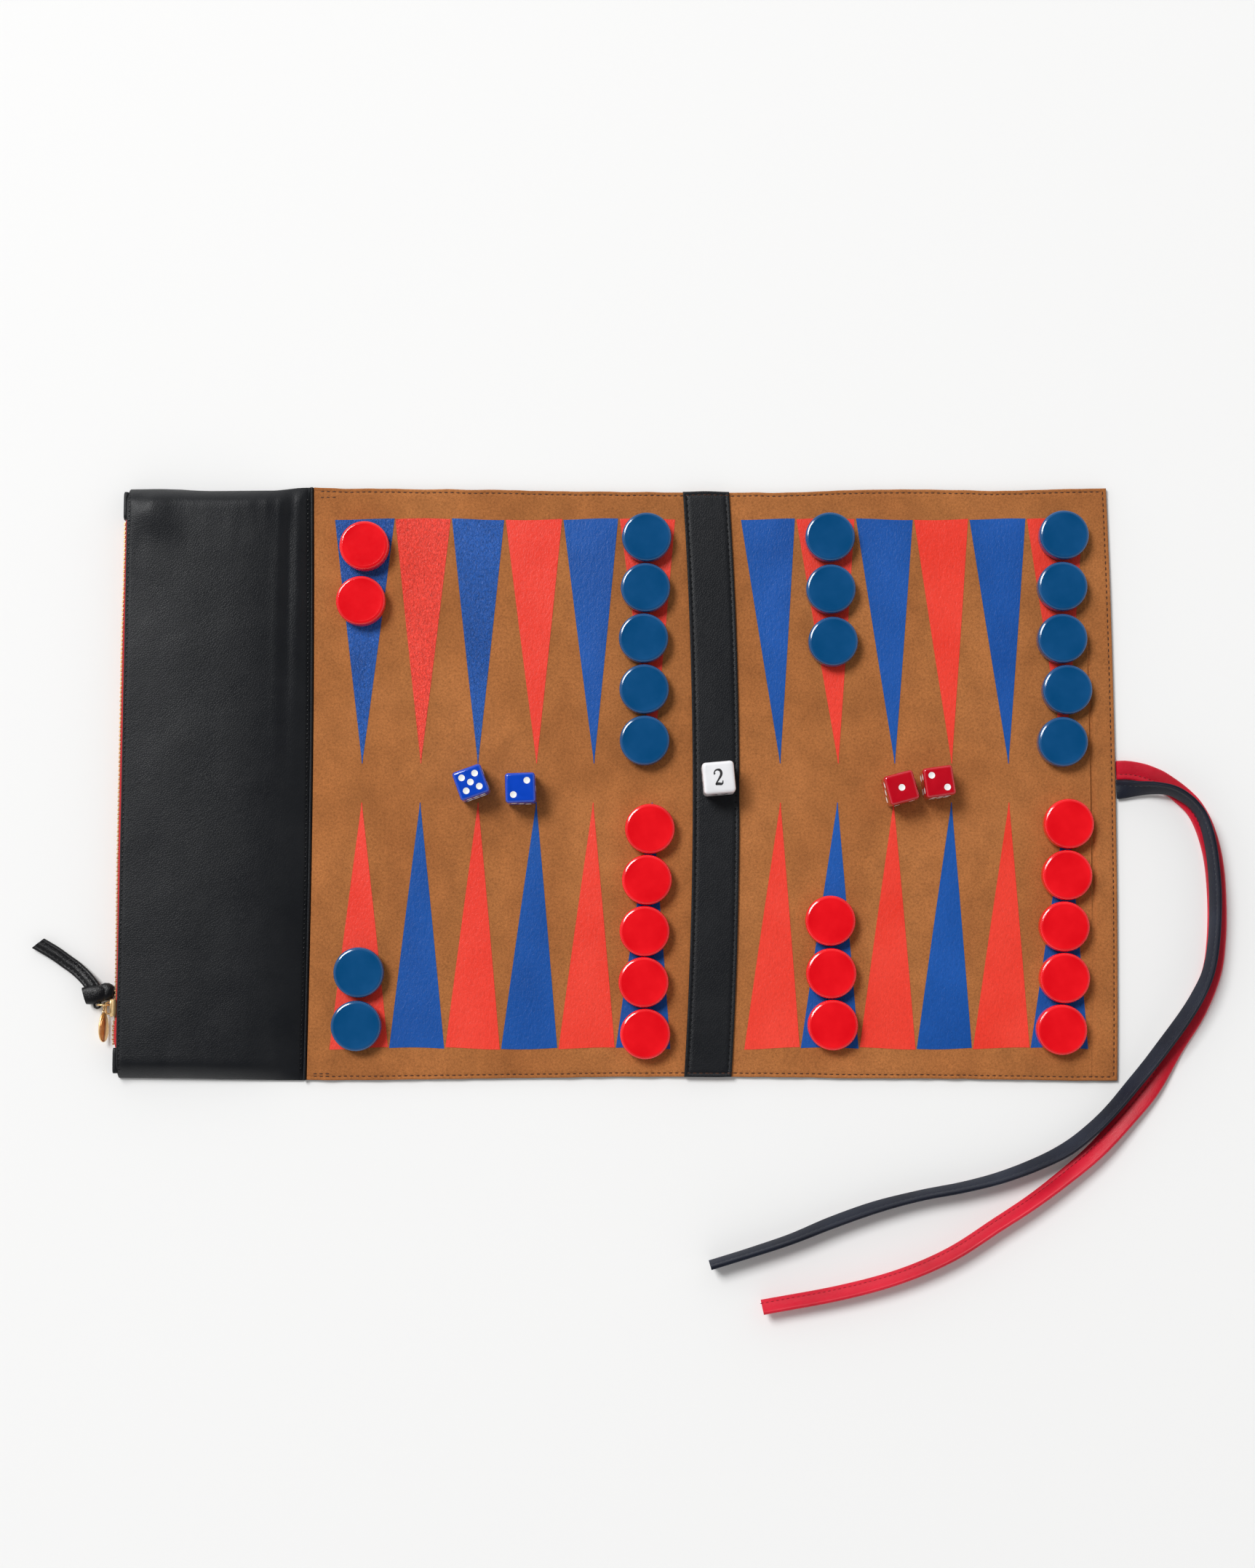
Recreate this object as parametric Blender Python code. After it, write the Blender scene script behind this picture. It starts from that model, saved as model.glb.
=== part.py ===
"""Roll-up travel backgammon set, laid open: a three-panel suede mat with a leather bar,
a zipped leather pouch along one end, two tie straps, thirty men, four dice and a
doubling cube. Metres, +Z up, resting on z = 0."""

import math

import bmesh
import bpy
from mathutils import Matrix, Vector

MM = 0.001
GAP = 0.3 * MM

# Mat: leather backing, suede playing surface, leather bar strip
HALF_DEPTH = 148.5 * MM
SEAM_X = -133.0 * MM
BAR_LEFT_X = 54.9 * MM
BAR_RIGHT_X = 79.0 * MM
MAT_RIGHT_X = 271.1 * MM
BAR_BOW = 4.6 * MM
RIGHT_BOW = 1.9 * MM
BACKING_THICK = 1.1 * MM
SUEDE_BASE = BACKING_THICK + GAP
SUEDE_THICK = 1.0 * MM
MAT_TOP = SUEDE_BASE + SUEDE_THICK
STRIP_BASE = MAT_TOP + GAP
STRIP_THICK = 1.0 * MM
STRIP_TOP = STRIP_BASE + STRIP_THICK
STRIP_INSET = 1.3 * MM
EDGE_STEPS = 8

# Fold lines
FOLD_LEFT_X = 58.0 * MM
FOLD_RIGHT_X = 82.1 * MM

# Men
MAN_RADIUS = 12.5 * MM
MAN_HEIGHT = 7.0 * MM
MAN_ROUND = 1.3 * MM
MAN_RIM = 1.9 * MM
MAN_DISH = 0.4 * MM
MAN_SIDES = 20
MEN_LEFT_RED = [
    (-106.3, 120.5), (-107.8, 92.3),
    (35.8, -125.4), (35.0, -99.8), (35.5, -74.4), (36.7, -48.8), (38.2, -23.2),
]
MEN_LEFT_BLUE = [
    (36.7, 124.9), (36.1, 99.0), (35.1, 73.2), (35.4, 47.3), (35.6, 21.3),
    (-107.9, -121.4), (-106.9, -94.9),
]
MEN_RIGHT_BLUE = [
    (129.6, 125.0), (129.8, 98.3), (130.7, 71.5),
    (248.1, 126.0), (246.9, 99.6), (246.4, 73.0), (248.4, 47.0), (245.7, 20.6),
]
MEN_RIGHT_RED = [
    (129.0, -121.0), (128.4, -95.4), (128.2, -69.2),
    (242.7, -123.3), (244.6, -97.7), (244.9, -72.1), (246.7, -46.4), (248.0, -20.7),
]

# Dice: x, y in millimetres and turn in degrees
DIE_EDGE = 15.0 * MM
DIE_ROUND = 1.3 * MM
CUBE_EDGE = 15.9 * MM
CUBE_ROUND = 1.6 * MM
DICE_BLUE = [(-51.1, -0.6, 20.0), (-26.4, -3.3, 2.0)]
DICE_RED = [(163.4, -3.3, 15.0), (182.2, -0.2, 8.0)]
DOUBLING_CUBE = (72.4, 1.6, 5.0)

# Pouch shell
POUCH_LEFT_X = -226.6 * MM
POUCH_RIGHT_X = -135.0 * MM
POUCH_HEIGHT = 8.6 * MM
POUCH_EDGE_HEIGHT = 8.3 * MM
POUCH_LEATHER = 1.2 * MM
POUCH_END_ROUND = 13.0 * MM
POUCH_COLUMNS = 14
POUCH_END_STEPS = 5
POUCH_MIDDLE_STEPS = 6
WELT_LEFT_X = -134.7 * MM
WELT_RIGHT_X = SEAM_X - GAP
WELT_HEIGHT = 1.5 * MM

# Zip along the outer wall of the pouch
TAPE_X = -226.5 * MM
TAPE_THICK = 0.6 * MM
TAPE_SPLIT_Z = 5.5 * MM
TAPE_TOP = 8.0 * MM
TEETH_X = -227.9 * MM
TEETH_THICK = 1.1 * MM
TOOTH_PITCH = 2.2 * MM
TOOTH_WIDTH = 0.75 * MM
TOOTH_REACH = 0.6 * MM
BEAD_INNER = 0.9 * MM
BEAD_OUTER = 1.7 * MM
TEETH_NEAR_Y = -131.4 * MM
TOOTH_COUNT = 120
TAB_NEAR = (-145.0 * MM, -132.4 * MM)
TAB_FAR = (134.2 * MM, 147.0 * MM)
TAB_LEFT_X = -228.7 * MM
TAB_RIGHT_X = -226.9 * MM
TAB_TOP = 8.2 * MM

# Slider and what hangs from it
SLIDER_Y = -112.5 * MM
SLIDER_LENGTH = 9.0 * MM
SLIDER_PLATE_X = -230.2 * MM
SLIDER_PLATE_THICK = 1.0 * MM
SLIDER_LIP_X = -226.9 * MM
SLIDER_LIP_THICK = 0.7 * MM
SLIDER_HALF_HEIGHT = 2.75 * MM
BRIDGE_REACH = 3.0 * MM
BRIDGE_BAR = 1.0 * MM
BRIDGE_HALF_LENGTH = 3.0 * MM
PULL_RING_AT = (-234.1 * MM, -111.0 * MM, 5.5 * MM)
PULL_RING_RADIUS = 2.9 * MM
PULL_RING_WIRE = 0.45 * MM
CHARM_RING_AT = (-234.1 * MM, -111.95 * MM, 2.6 * MM)
CHARM_RING_RADIUS = 1.9 * MM
CHARM_RING_WIRE = 0.4 * MM
CHARM_AT = (-234.1 * MM, -122.1 * MM, 3.4 * MM)
CHARM_LENGTH = 14.8 * MM
CHARM_WIDTH = 7.0 * MM
CHARM_THICK = 0.9 * MM
CHARM_TILT = 50.0
KNOT_AT = (-239.0 * MM, -104.3 * MM, 3.9 * MM)
KNOT_SIZE = (13.2 * MM, 10.0 * MM, 6.4 * MM)
KNOT_ROUND = 1.2 * MM
LOOP_AT = (-237.0 * MM, -111.0 * MM, 5.5 * MM)
LOOP_RADIUS = 1.55 * MM
LOOP_WIRE = 0.6 * MM
PULL_WIDTH = 7.0 * MM
PULL_THICK = 2.4 * MM
PULL_ROUTE = [
    (-244.6, -97.9, 2.2, 0), (-249.6, -92.5, 1.7, 0), (-256.0, -87.2, 1.6, 0),
    (-263.2, -82.7, 1.6, 0), (-271.1, -79.6, 1.6, 0),
]

# Tie straps: route points in millimetres at the middle of the strap, then its roll in
# degrees, which lifts the outer edge. The navy strap stands almost on edge on the red one.
TIE_WIDTH = 9.5 * MM
TIE_THICK = 2.2 * MM
NAVY_ROUTE = [
    (273.6, -3.1, 1.7, 0), (277.4, -3.0, 3.3, 26), (283.0, -2.8, 4.7, 48), (290.0, -2.6, 6.1, 60),
    (297.6, -3.4, 7.5, 67), (304.5, -5.8, 7.8, 71), (311.0, -10.3, 7.8, 75), (316.0, -17.8, 7.8, 76),
    (319.3, -30.0, 7.7, 74), (321.0, -46.0, 7.7, 73), (321.2, -62.2, 7.7, 72), (320.0, -79.3, 7.7, 73),
    (317.0, -94.5, 7.7, 70), (310.7, -108.0, 7.6, 64), (301.7, -121.6, 7.1, 60), (291.0, -135.3, 5.8, 58),
    (279.7, -148.6, 5.0, 61), (268.0, -162.2, 5.0, 63), (257.5, -172.4, 5.0, 61), (245.0, -181.9, 4.9, 58),
    (230.3, -189.2, 5.0, 62), (211.6, -196.1, 5.1, 66), (192.6, -200.9, 5.2, 70), (172.0, -204.8, 5.2, 70),
    (150.0, -210.4, 5.1, 66), (128.0, -218.0, 5.1, 66), (108.0, -226.0, 5.2, 72), (88.0, -232.6, 5.2, 75),
    (67.7, -238.8, 5.2, 75),
]
RED_ROUTE = [
    (273.6, 6.8, 1.7, 0), (279.0, 6.9, 1.4, 0), (285.0, 6.0, 1.25, 0), (291.3, 4.0, 1.2, 0),
    (297.0, 1.1, 1.2, 0), (305.4, -5.0, 1.2, 0), (313.0, -12.9, 1.2, 0), (318.4, -24.5, 1.2, 0),
    (321.8, -40.0, 1.2, 0), (322.9, -60.0, 1.2, 0), (322.1, -79.1, 1.2, 0), (319.3, -95.5, 1.2, 0),
    (311.7, -113.6, 1.2, 0), (299.8, -132.0, 1.25, 0), (287.5, -152.0, 2.1, 9), (273.8, -168.0, 3.0, 22),
    (258.6, -183.7, 4.0, 37), (242.2, -197.1, 4.5, 48), (226.5, -208.6, 4.7, 54), (209.6, -219.4, 4.8, 57),
    (187.0, -233.6, 4.8, 57), (161.5, -244.4, 4.8, 57), (131.7, -252.4, 4.7, 54), (93.4, -259.4, 4.7, 54),
]
TIE_STEPS = 2

SUEDE = ("tan_suede", (0.42, 0.16, 0.045), 0.9, 0.0)
BLACK_LEATHER = ("black_leather", (0.018, 0.018, 0.02), 0.5, 0.0)
RED_LEATHER = ("red_leather", (0.6, 0.003, 0.02), 0.45, 0.0)
NAVY_LEATHER = ("navy_leather", (0.015, 0.02, 0.035), 0.5, 0.0)
RED_MEN = ("red_men_plastic", (0.8, 0.005, 0.012), 0.15, 0.0)
BLUE_MEN = ("blue_men_plastic", (0.0, 0.06, 0.2), 0.15, 0.0)
RED_DICE = ("red_dice_plastic", (0.45, 0.0, 0.008), 0.1, 0.0)
BLUE_DICE = ("blue_dice_plastic", (0.0, 0.05, 0.5), 0.1, 0.0)
WHITE_PLASTIC = ("white_plastic", (0.8, 0.8, 0.78), 0.2, 0.0)
RED_TAPE = ("red_zip_tape", (0.65, 0.01, 0.015), 0.85, 0.0)
GOLD = ("gold_metal", (0.85, 0.55, 0.22), 0.25, 1.0)


def clear_scene():
    for item in list(bpy.data.objects):
        bpy.data.objects.remove(item, do_unlink=True)


def material(look):
    name, colour, roughness, metallic = look
    if name in bpy.data.materials:
        return bpy.data.materials[name]
    made = bpy.data.materials.new(name)
    made.use_nodes = True
    shader = made.node_tree.nodes["Principled BSDF"]
    shader.inputs["Base Color"].default_value = (*colour, 1.0)
    shader.inputs["Roughness"].default_value = roughness
    shader.inputs["Metallic"].default_value = metallic
    return made


def add_object(name, mesh_data, look):
    mesh = bpy.data.meshes.new(name)
    bmesh.ops.recalc_face_normals(mesh_data, faces=mesh_data.faces)
    mesh_data.to_mesh(mesh)
    mesh_data.free()
    mesh.materials.append(material(look))
    made = bpy.data.objects.new(name, mesh)
    bpy.context.scene.collection.objects.link(made)
    return made


def smooth(made, angle_deg=35.0):
    made.data.shade_smooth()
    made.data.set_sharp_from_angle(angle=math.radians(angle_deg))


def bow_at(x):
    """How far a line across the mat bends right at its middle."""
    if x <= SEAM_X:
        return 0.0
    if x <= BAR_LEFT_X:
        return BAR_BOW * ((x - SEAM_X) / (BAR_LEFT_X - SEAM_X)) ** 2
    if x <= BAR_RIGHT_X:
        return BAR_BOW
    share = (x - BAR_RIGHT_X) / (MAT_RIGHT_X - BAR_RIGHT_X)
    return BAR_BOW + (RIGHT_BOW - BAR_BOW) * share


def bowed_edge(x, bow):
    """Points of one long edge from the near end to the far end."""
    edge = []
    for step in range(EDGE_STEPS + 1):
        y = -HALF_DEPTH + 2 * HALF_DEPTH * step / EDGE_STEPS
        edge.append((x + bow * (1 - (y / HALF_DEPTH) ** 2), y))
    return edge


def prism(mesh_data, outline, low, high):
    """Closes an outline of (x, y) points between two heights."""
    bottom = [mesh_data.verts.new((x, y, low)) for x, y in outline]
    top = [mesh_data.verts.new((x, y, high)) for x, y in outline]
    mesh_data.faces.new(reversed(bottom))
    mesh_data.faces.new(top)
    for index in range(len(outline)):
        after = (index + 1) % len(outline)
        mesh_data.faces.new((bottom[index], bottom[after], top[after], top[index]))


def mat_sheet(name, left_x, right_x, low, thick, look):
    """One flat layer of a panel between two bowed edges."""
    left = bowed_edge(left_x, bow_at(left_x))
    right = bowed_edge(right_x, bow_at(right_x))
    mesh_data = bmesh.new()
    prism(mesh_data, right + left[::-1], low, low + thick)
    return add_object(name, mesh_data, look)


def build_mat():
    half = GAP / 2
    panels = [
        ("board_left", SEAM_X + half, BAR_LEFT_X - half),
        ("bar", BAR_LEFT_X + half, BAR_RIGHT_X - half),
        ("board_right", BAR_RIGHT_X + half, MAT_RIGHT_X),
    ]
    for name, left_x, right_x in panels:
        mat_sheet(name + "_backing", left_x, right_x, 0.0, BACKING_THICK, BLACK_LEATHER)
        mat_sheet(name + "_suede", left_x, right_x, SUEDE_BASE, SUEDE_THICK, SUEDE)
    mat_sheet(
        "bar_leather_strip", BAR_LEFT_X + STRIP_INSET, BAR_RIGHT_X - STRIP_INSET,
        STRIP_BASE, STRIP_THICK, BLACK_LEATHER,
    )


def lathe(mesh_data, profile, sides):
    """Turns a profile of (radius, z) points round Z and closes both ends flat."""
    rings = []
    for radius, z in profile:
        ring = []
        for side in range(sides):
            angle = 2 * math.pi * side / sides
            ring.append(mesh_data.verts.new((radius * math.cos(angle), radius * math.sin(angle), z)))
        rings.append(ring)
    for low, high in zip(rings, rings[1:]):
        for side in range(sides):
            after = (side + 1) % sides
            mesh_data.faces.new((low[side], low[after], high[after], high[side]))
    mesh_data.faces.new(reversed(rings[0]))
    mesh_data.faces.new(rings[-1])


def build_man(name, at, look):
    rim = MAN_RADIUS - MAN_ROUND
    profile = [
        (rim, 0.0), (MAN_RADIUS, MAN_ROUND), (MAN_RADIUS, MAN_HEIGHT - MAN_ROUND),
        (rim, MAN_HEIGHT), (rim - MAN_RIM, MAN_HEIGHT - MAN_DISH),
    ]
    mesh_data = bmesh.new()
    lathe(mesh_data, profile, MAN_SIDES)
    made = add_object(name, mesh_data, look)
    made.location = (at[0] * MM, at[1] * MM, MAT_TOP + GAP)
    smooth(made, 60.0)


def build_men():
    groups = [
        ("man_red", 1, MEN_LEFT_RED, RED_MEN),
        ("man_red", 1 + len(MEN_LEFT_RED), MEN_RIGHT_RED, RED_MEN),
        ("man_blue", 1, MEN_LEFT_BLUE, BLUE_MEN),
        ("man_blue", 1 + len(MEN_LEFT_BLUE), MEN_RIGHT_BLUE, BLUE_MEN),
    ]
    for stem, first, places, look in groups:
        for offset, at in enumerate(places):
            build_man(f"{stem}_{first + offset:02d}", at, look)


def rounded_box(mesh_data, size, radius):
    made = bmesh.ops.create_cube(mesh_data, size=1.0)
    bmesh.ops.scale(mesh_data, vec=size, verts=made["verts"])
    bmesh.ops.bevel(
        mesh_data, geom=list(mesh_data.edges), offset=radius, segments=1, affect="EDGES",
        profile=0.5,
    )


def build_cube(name, place, edge, radius, base_z, look):
    mesh_data = bmesh.new()
    rounded_box(mesh_data, (edge, edge, edge), radius)
    made = add_object(name, mesh_data, look)
    made.location = (place[0] * MM, place[1] * MM, base_z + edge / 2)
    made.rotation_euler = (0.0, 0.0, math.radians(place[2]))
    smooth(made, 30.0)


def build_dice():
    for index, place in enumerate(DICE_BLUE, 1):
        build_cube(f"die_blue_{index}", place, DIE_EDGE, DIE_ROUND, MAT_TOP + GAP, BLUE_DICE)
    for index, place in enumerate(DICE_RED, 1):
        build_cube(f"die_red_{index}", place, DIE_EDGE, DIE_ROUND, MAT_TOP + GAP, RED_DICE)
    build_cube("doubling_cube", DOUBLING_CUBE, CUBE_EDGE, CUBE_ROUND, STRIP_TOP + GAP, WHITE_PLASTIC)


def pouch_rise(share):
    """Height of the pouch over its rim, from the zip side (0) to the seam (1)."""
    crown = POUCH_EDGE_HEIGHT + (POUCH_HEIGHT - POUCH_EDGE_HEIGHT) * math.sin(math.pi * min(1.0, share * 2))
    return crown * math.cos(0.5 * math.pi * share ** 2.2) ** 0.8


def pouch_stations():
    """(y share, height share) of each section from one end of the pouch to the other."""
    ends = []
    round_share = POUCH_END_ROUND / HALF_DEPTH
    for step in range(POUCH_END_STEPS):
        turn = 0.5 * math.pi * step / POUCH_END_STEPS
        ends.append((-1.0 + round_share * (1 - math.cos(turn)), math.sin(turn)))
    middle = []
    for step in range(POUCH_MIDDLE_STEPS + 1):
        middle.append(((1 - round_share) * (2 * step / POUCH_MIDDLE_STEPS - 1), 1.0))
    return ends + middle + [(-y, height) for y, height in reversed(ends)]


def pouch_surface(mesh_data, right_x, half_depth, drop):
    """Grid of points of the outer (drop 0) or inner face of the pouch shell."""
    rows = []
    for y_share, height_share in pouch_stations():
        row = []
        for column in range(POUCH_COLUMNS + 1):
            share = column / POUCH_COLUMNS
            x = POUCH_LEFT_X + (right_x - POUCH_LEFT_X) * share
            rise = max(0.0, pouch_rise(share) - drop) * height_share
            row.append(mesh_data.verts.new((x, y_share * half_depth, SUEDE_BASE + rise)))
        rows.append(row)
    return rows


def build_pouch():
    mesh_data = bmesh.new()
    outer = pouch_surface(mesh_data, POUCH_RIGHT_X, HALF_DEPTH, 0.0)
    inner = pouch_surface(
        mesh_data, POUCH_RIGHT_X - POUCH_LEATHER, HALF_DEPTH - POUCH_LEATHER, POUCH_LEATHER,
    )
    rows = len(outer)
    for row in range(rows - 1):
        for column in range(POUCH_COLUMNS):
            for grid in (outer, inner):
                corners = (
                    grid[row][column], grid[row][column + 1],
                    grid[row + 1][column + 1], grid[row + 1][column],
                )
                mesh_data.faces.new(corners)
    rim = [(row, 0) for row in range(rows)]
    rim += [(rows - 1, column) for column in range(1, POUCH_COLUMNS + 1)]
    rim += [(row, POUCH_COLUMNS) for row in range(rows - 2, -1, -1)]
    rim += [(0, column) for column in range(POUCH_COLUMNS - 1, 0, -1)]
    for here, there in zip(rim, rim[1:] + rim[:1]):
        mesh_data.faces.new((
            outer[here[0]][here[1]], outer[there[0]][there[1]],
            inner[there[0]][there[1]], inner[here[0]][here[1]],
        ))
    smooth(add_object("pouch_top_panel", mesh_data, BLACK_LEATHER), 50.0)

    back = bmesh.new()
    outline = [
        (POUCH_LEFT_X, -HALF_DEPTH), (WELT_RIGHT_X, -HALF_DEPTH),
        (WELT_RIGHT_X, HALF_DEPTH), (POUCH_LEFT_X, HALF_DEPTH),
    ]
    prism(back, outline, 0.0, BACKING_THICK)
    add_object("pouch_back_panel", back, BLACK_LEATHER)

    welt = bmesh.new()
    outline = [
        (WELT_LEFT_X, -HALF_DEPTH), (WELT_RIGHT_X, -HALF_DEPTH),
        (WELT_RIGHT_X, HALF_DEPTH), (WELT_LEFT_X, HALF_DEPTH),
    ]
    prism(welt, outline, SUEDE_BASE, SUEDE_BASE + WELT_HEIGHT)
    add_object("pouch_seam_welt", welt, BLACK_LEATHER)


def build_box(name, low, high, look):
    mesh_data = bmesh.new()
    outline = [(low[0], low[1]), (high[0], low[1]), (high[0], high[1]), (low[0], high[1])]
    prism(mesh_data, outline, low[2], high[2])
    return add_object(name, mesh_data, look)


def comb_outline(side):
    """(y, z) outline of one row of zip teeth: a bead with teeth that pass the middle line."""
    start = TEETH_NEAR_Y + (0.0 if side > 0 else TOOTH_PITCH / 2)
    end = start + TOOTH_PITCH * TOOTH_COUNT
    outline = [(start, side * BEAD_OUTER), (start, side * BEAD_INNER)]
    for tooth in range(TOOTH_COUNT):
        middle = start + TOOTH_PITCH * (tooth + 0.5)
        outline.append((middle - TOOTH_WIDTH / 2, side * BEAD_INNER))
        outline.append((middle - TOOTH_WIDTH / 2, -side * TOOTH_REACH))
        outline.append((middle + TOOTH_WIDTH / 2, -side * TOOTH_REACH))
        outline.append((middle + TOOTH_WIDTH / 2, side * BEAD_INNER))
    outline += [(end, side * BEAD_INNER), (end, side * BEAD_OUTER)]
    return outline


def build_teeth(name, side):
    mesh_data = bmesh.new()
    prism(mesh_data, comb_outline(side), 0.0, TEETH_THICK)
    # The outline's plane stands up so that the comb's thickness points along X.
    stand = Matrix(((0, 0, 1, TEETH_X), (1, 0, 0, 0), (0, 1, 0, TAPE_SPLIT_Z), (0, 0, 0, 1)))
    bmesh.ops.transform(mesh_data, matrix=stand, verts=mesh_data.verts)
    add_object(name, mesh_data, GOLD)


def build_zip():
    tape_right = TAPE_X + TAPE_THICK
    near = TAB_NEAR[1] + GAP
    far = TAB_FAR[0] - GAP
    build_box(
        "zip_tape_upper", (TAPE_X, near, TAPE_SPLIT_Z + GAP / 2),
        (tape_right, far, TAPE_TOP), RED_TAPE,
    )
    build_box(
        "zip_tape_lower", (TAPE_X, near, SUEDE_BASE),
        (tape_right, far, TAPE_SPLIT_Z - GAP / 2), RED_TAPE,
    )
    build_teeth("zip_teeth_upper", 1)
    build_teeth("zip_teeth_lower", -1)
    for name, (low_y, high_y) in (("zip_end_tab_near", TAB_NEAR), ("zip_end_tab_far", TAB_FAR)):
        build_box(name, (TAB_LEFT_X, low_y, SUEDE_BASE), (TAB_RIGHT_X, high_y, TAB_TOP), BLACK_LEATHER)


def torus(mesh_data, at, radius, wire, axis, around=16, sides=6):
    """Round ring of wire about a point; axis is the direction the ring faces."""
    turn = Vector((0, 0, 1)).rotation_difference(Vector(axis)).to_matrix()
    grid = []
    for step in range(around):
        angle = 2 * math.pi * step / around
        row = []
        for side in range(sides):
            phase = 2 * math.pi * side / sides
            reach = radius + wire * math.cos(phase)
            local = Vector((reach * math.cos(angle), reach * math.sin(angle), wire * math.sin(phase)))
            row.append(mesh_data.verts.new(turn @ local + Vector(at)))
        grid.append(row)
    for step in range(around):
        for side in range(sides):
            after = (step + 1) % around
            beside = (side + 1) % sides
            mesh_data.faces.new((grid[step][side], grid[after][side], grid[after][beside], grid[step][beside]))


def join_solids(base, tool):
    """Fuses a second closed body into the first one."""
    modifier = base.modifiers.new("join", "BOOLEAN")
    modifier.operation = "UNION"
    modifier.solver = "EXACT"
    modifier.object = tool
    tool.hide_render = True
    tool.display_type = "WIRE"


def build_slider():
    """Channel-shaped body over the teeth, with a bridge bar for the pull ring."""
    half = SLIDER_HALF_HEIGHT
    lip = SLIDER_LIP_THICK
    plate_in = SLIDER_PLATE_X + SLIDER_PLATE_THICK
    profile = [
        (SLIDER_PLATE_X, -half), (SLIDER_LIP_X, -half), (SLIDER_LIP_X, -half + lip),
        (plate_in, -half + lip), (plate_in, half - lip), (SLIDER_LIP_X, half - lip),
        (SLIDER_LIP_X, half), (SLIDER_PLATE_X, half),
    ]
    body = bmesh.new()
    prism(body, profile, -SLIDER_LENGTH / 2, SLIDER_LENGTH / 2)
    stand = Matrix(((1, 0, 0, 0), (0, 0, -1, SLIDER_Y), (0, 1, 0, TAPE_SPLIT_Z), (0, 0, 0, 1)))
    bmesh.ops.transform(body, matrix=stand, verts=body.verts)
    made = add_object("zip_slider", body, GOLD)

    bridge = bmesh.new()
    outer = BRIDGE_HALF_LENGTH
    inner = outer - BRIDGE_BAR
    root = SLIDER_PLATE_X + SLIDER_PLATE_THICK / 2
    tip = SLIDER_PLATE_X - BRIDGE_REACH
    outline = [
        (root, -outer), (root, -inner), (tip + BRIDGE_BAR, -inner), (tip + BRIDGE_BAR, inner),
        (root, inner), (root, outer), (tip, outer), (tip, -outer),
    ]
    prism(bridge, outline, TAPE_SPLIT_Z - BRIDGE_BAR / 2, TAPE_SPLIT_Z + BRIDGE_BAR / 2)
    bmesh.ops.translate(bridge, vec=(0.0, SLIDER_Y, 0.0), verts=bridge.verts)
    join_solids(made, add_object("cutter_bridge", bridge, GOLD))


def build_rings():
    ring = bmesh.new()
    torus(ring, PULL_RING_AT, PULL_RING_RADIUS, PULL_RING_WIRE, (0, 1, 0))
    smooth(add_object("pull_ring", ring, GOLD), 70.0)
    link = bmesh.new()
    torus(link, CHARM_RING_AT, CHARM_RING_RADIUS, CHARM_RING_WIRE, (1, 0, 0))
    smooth(add_object("charm_ring", link, GOLD), 70.0)


def build_charm():
    """Oval plate lying on its long edge beside the pouch."""
    mesh_data = bmesh.new()
    sides = 20
    outline = []
    for side in range(sides):
        angle = 2 * math.pi * side / sides
        outline.append((0.5 * CHARM_WIDTH * math.cos(angle), 0.5 * CHARM_LENGTH * math.sin(angle)))
    prism(mesh_data, outline, -CHARM_THICK / 2, CHARM_THICK / 2)
    place = Matrix.Translation(CHARM_AT) @ Matrix.Rotation(math.radians(CHARM_TILT), 4, "Y")
    bmesh.ops.transform(mesh_data, matrix=place, verts=mesh_data.verts)
    add_object("charm", mesh_data, GOLD)


def curve_through(route, steps):
    """Catmull-Rom points through a hand-placed route: place in metres and roll in radians."""
    points = [Vector(point) for point in route]
    padded = [2 * points[0] - points[1]] + points + [2 * points[-1] - points[-2]]
    line = []
    for index in range(1, len(padded) - 2):
        before, start, end, after = padded[index - 1:index + 3]
        for step in range(steps):
            t = step / steps
            line.append(0.5 * (
                2 * start + (end - before) * t
                + (2 * before - 5 * start + 4 * end - after) * t ** 2
                + (3 * start - before - 3 * end + after) * t ** 3
            ))
    line.append(points[-1])
    return [(point.to_3d() * MM, math.radians(point.w)) for point in line]


def strap(mesh_data, line, width, thick):
    """Flat strap with chamfered edges along a line, rolled about it."""
    edge = 0.3 * thick
    half = width / 2
    rise = thick / 2
    section = [
        (-half, -rise + edge), (-half + edge, -rise), (half - edge, -rise), (half, -rise + edge),
        (half, rise - edge), (half - edge, rise), (-half + edge, rise), (-half, rise - edge),
    ]
    rings = []
    for index, (point, roll) in enumerate(line):
        ahead = line[min(index + 1, len(line) - 1)][0] - line[max(index - 1, 0)][0]
        level = Vector((0, 0, 1)).cross(ahead).normalized()
        turn = Matrix.Rotation(roll, 3, ahead.normalized())
        across = turn @ level
        up = ahead.normalized().cross(across)
        ring = [mesh_data.verts.new(point + across * side + up * lift) for side, lift in section]
        rings.append(ring)
    for low, high in zip(rings, rings[1:]):
        for side in range(len(section)):
            after = (side + 1) % len(section)
            mesh_data.faces.new((low[side], low[after], high[after], high[side]))
    mesh_data.faces.new(reversed(rings[0]))
    mesh_data.faces.new(rings[-1])


def build_strap(name, route, width, thick, look):
    mesh_data = bmesh.new()
    strap(mesh_data, curve_through(route, TIE_STEPS), width, thick)
    smooth(add_object(name, mesh_data, look), 40.0)


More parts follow.
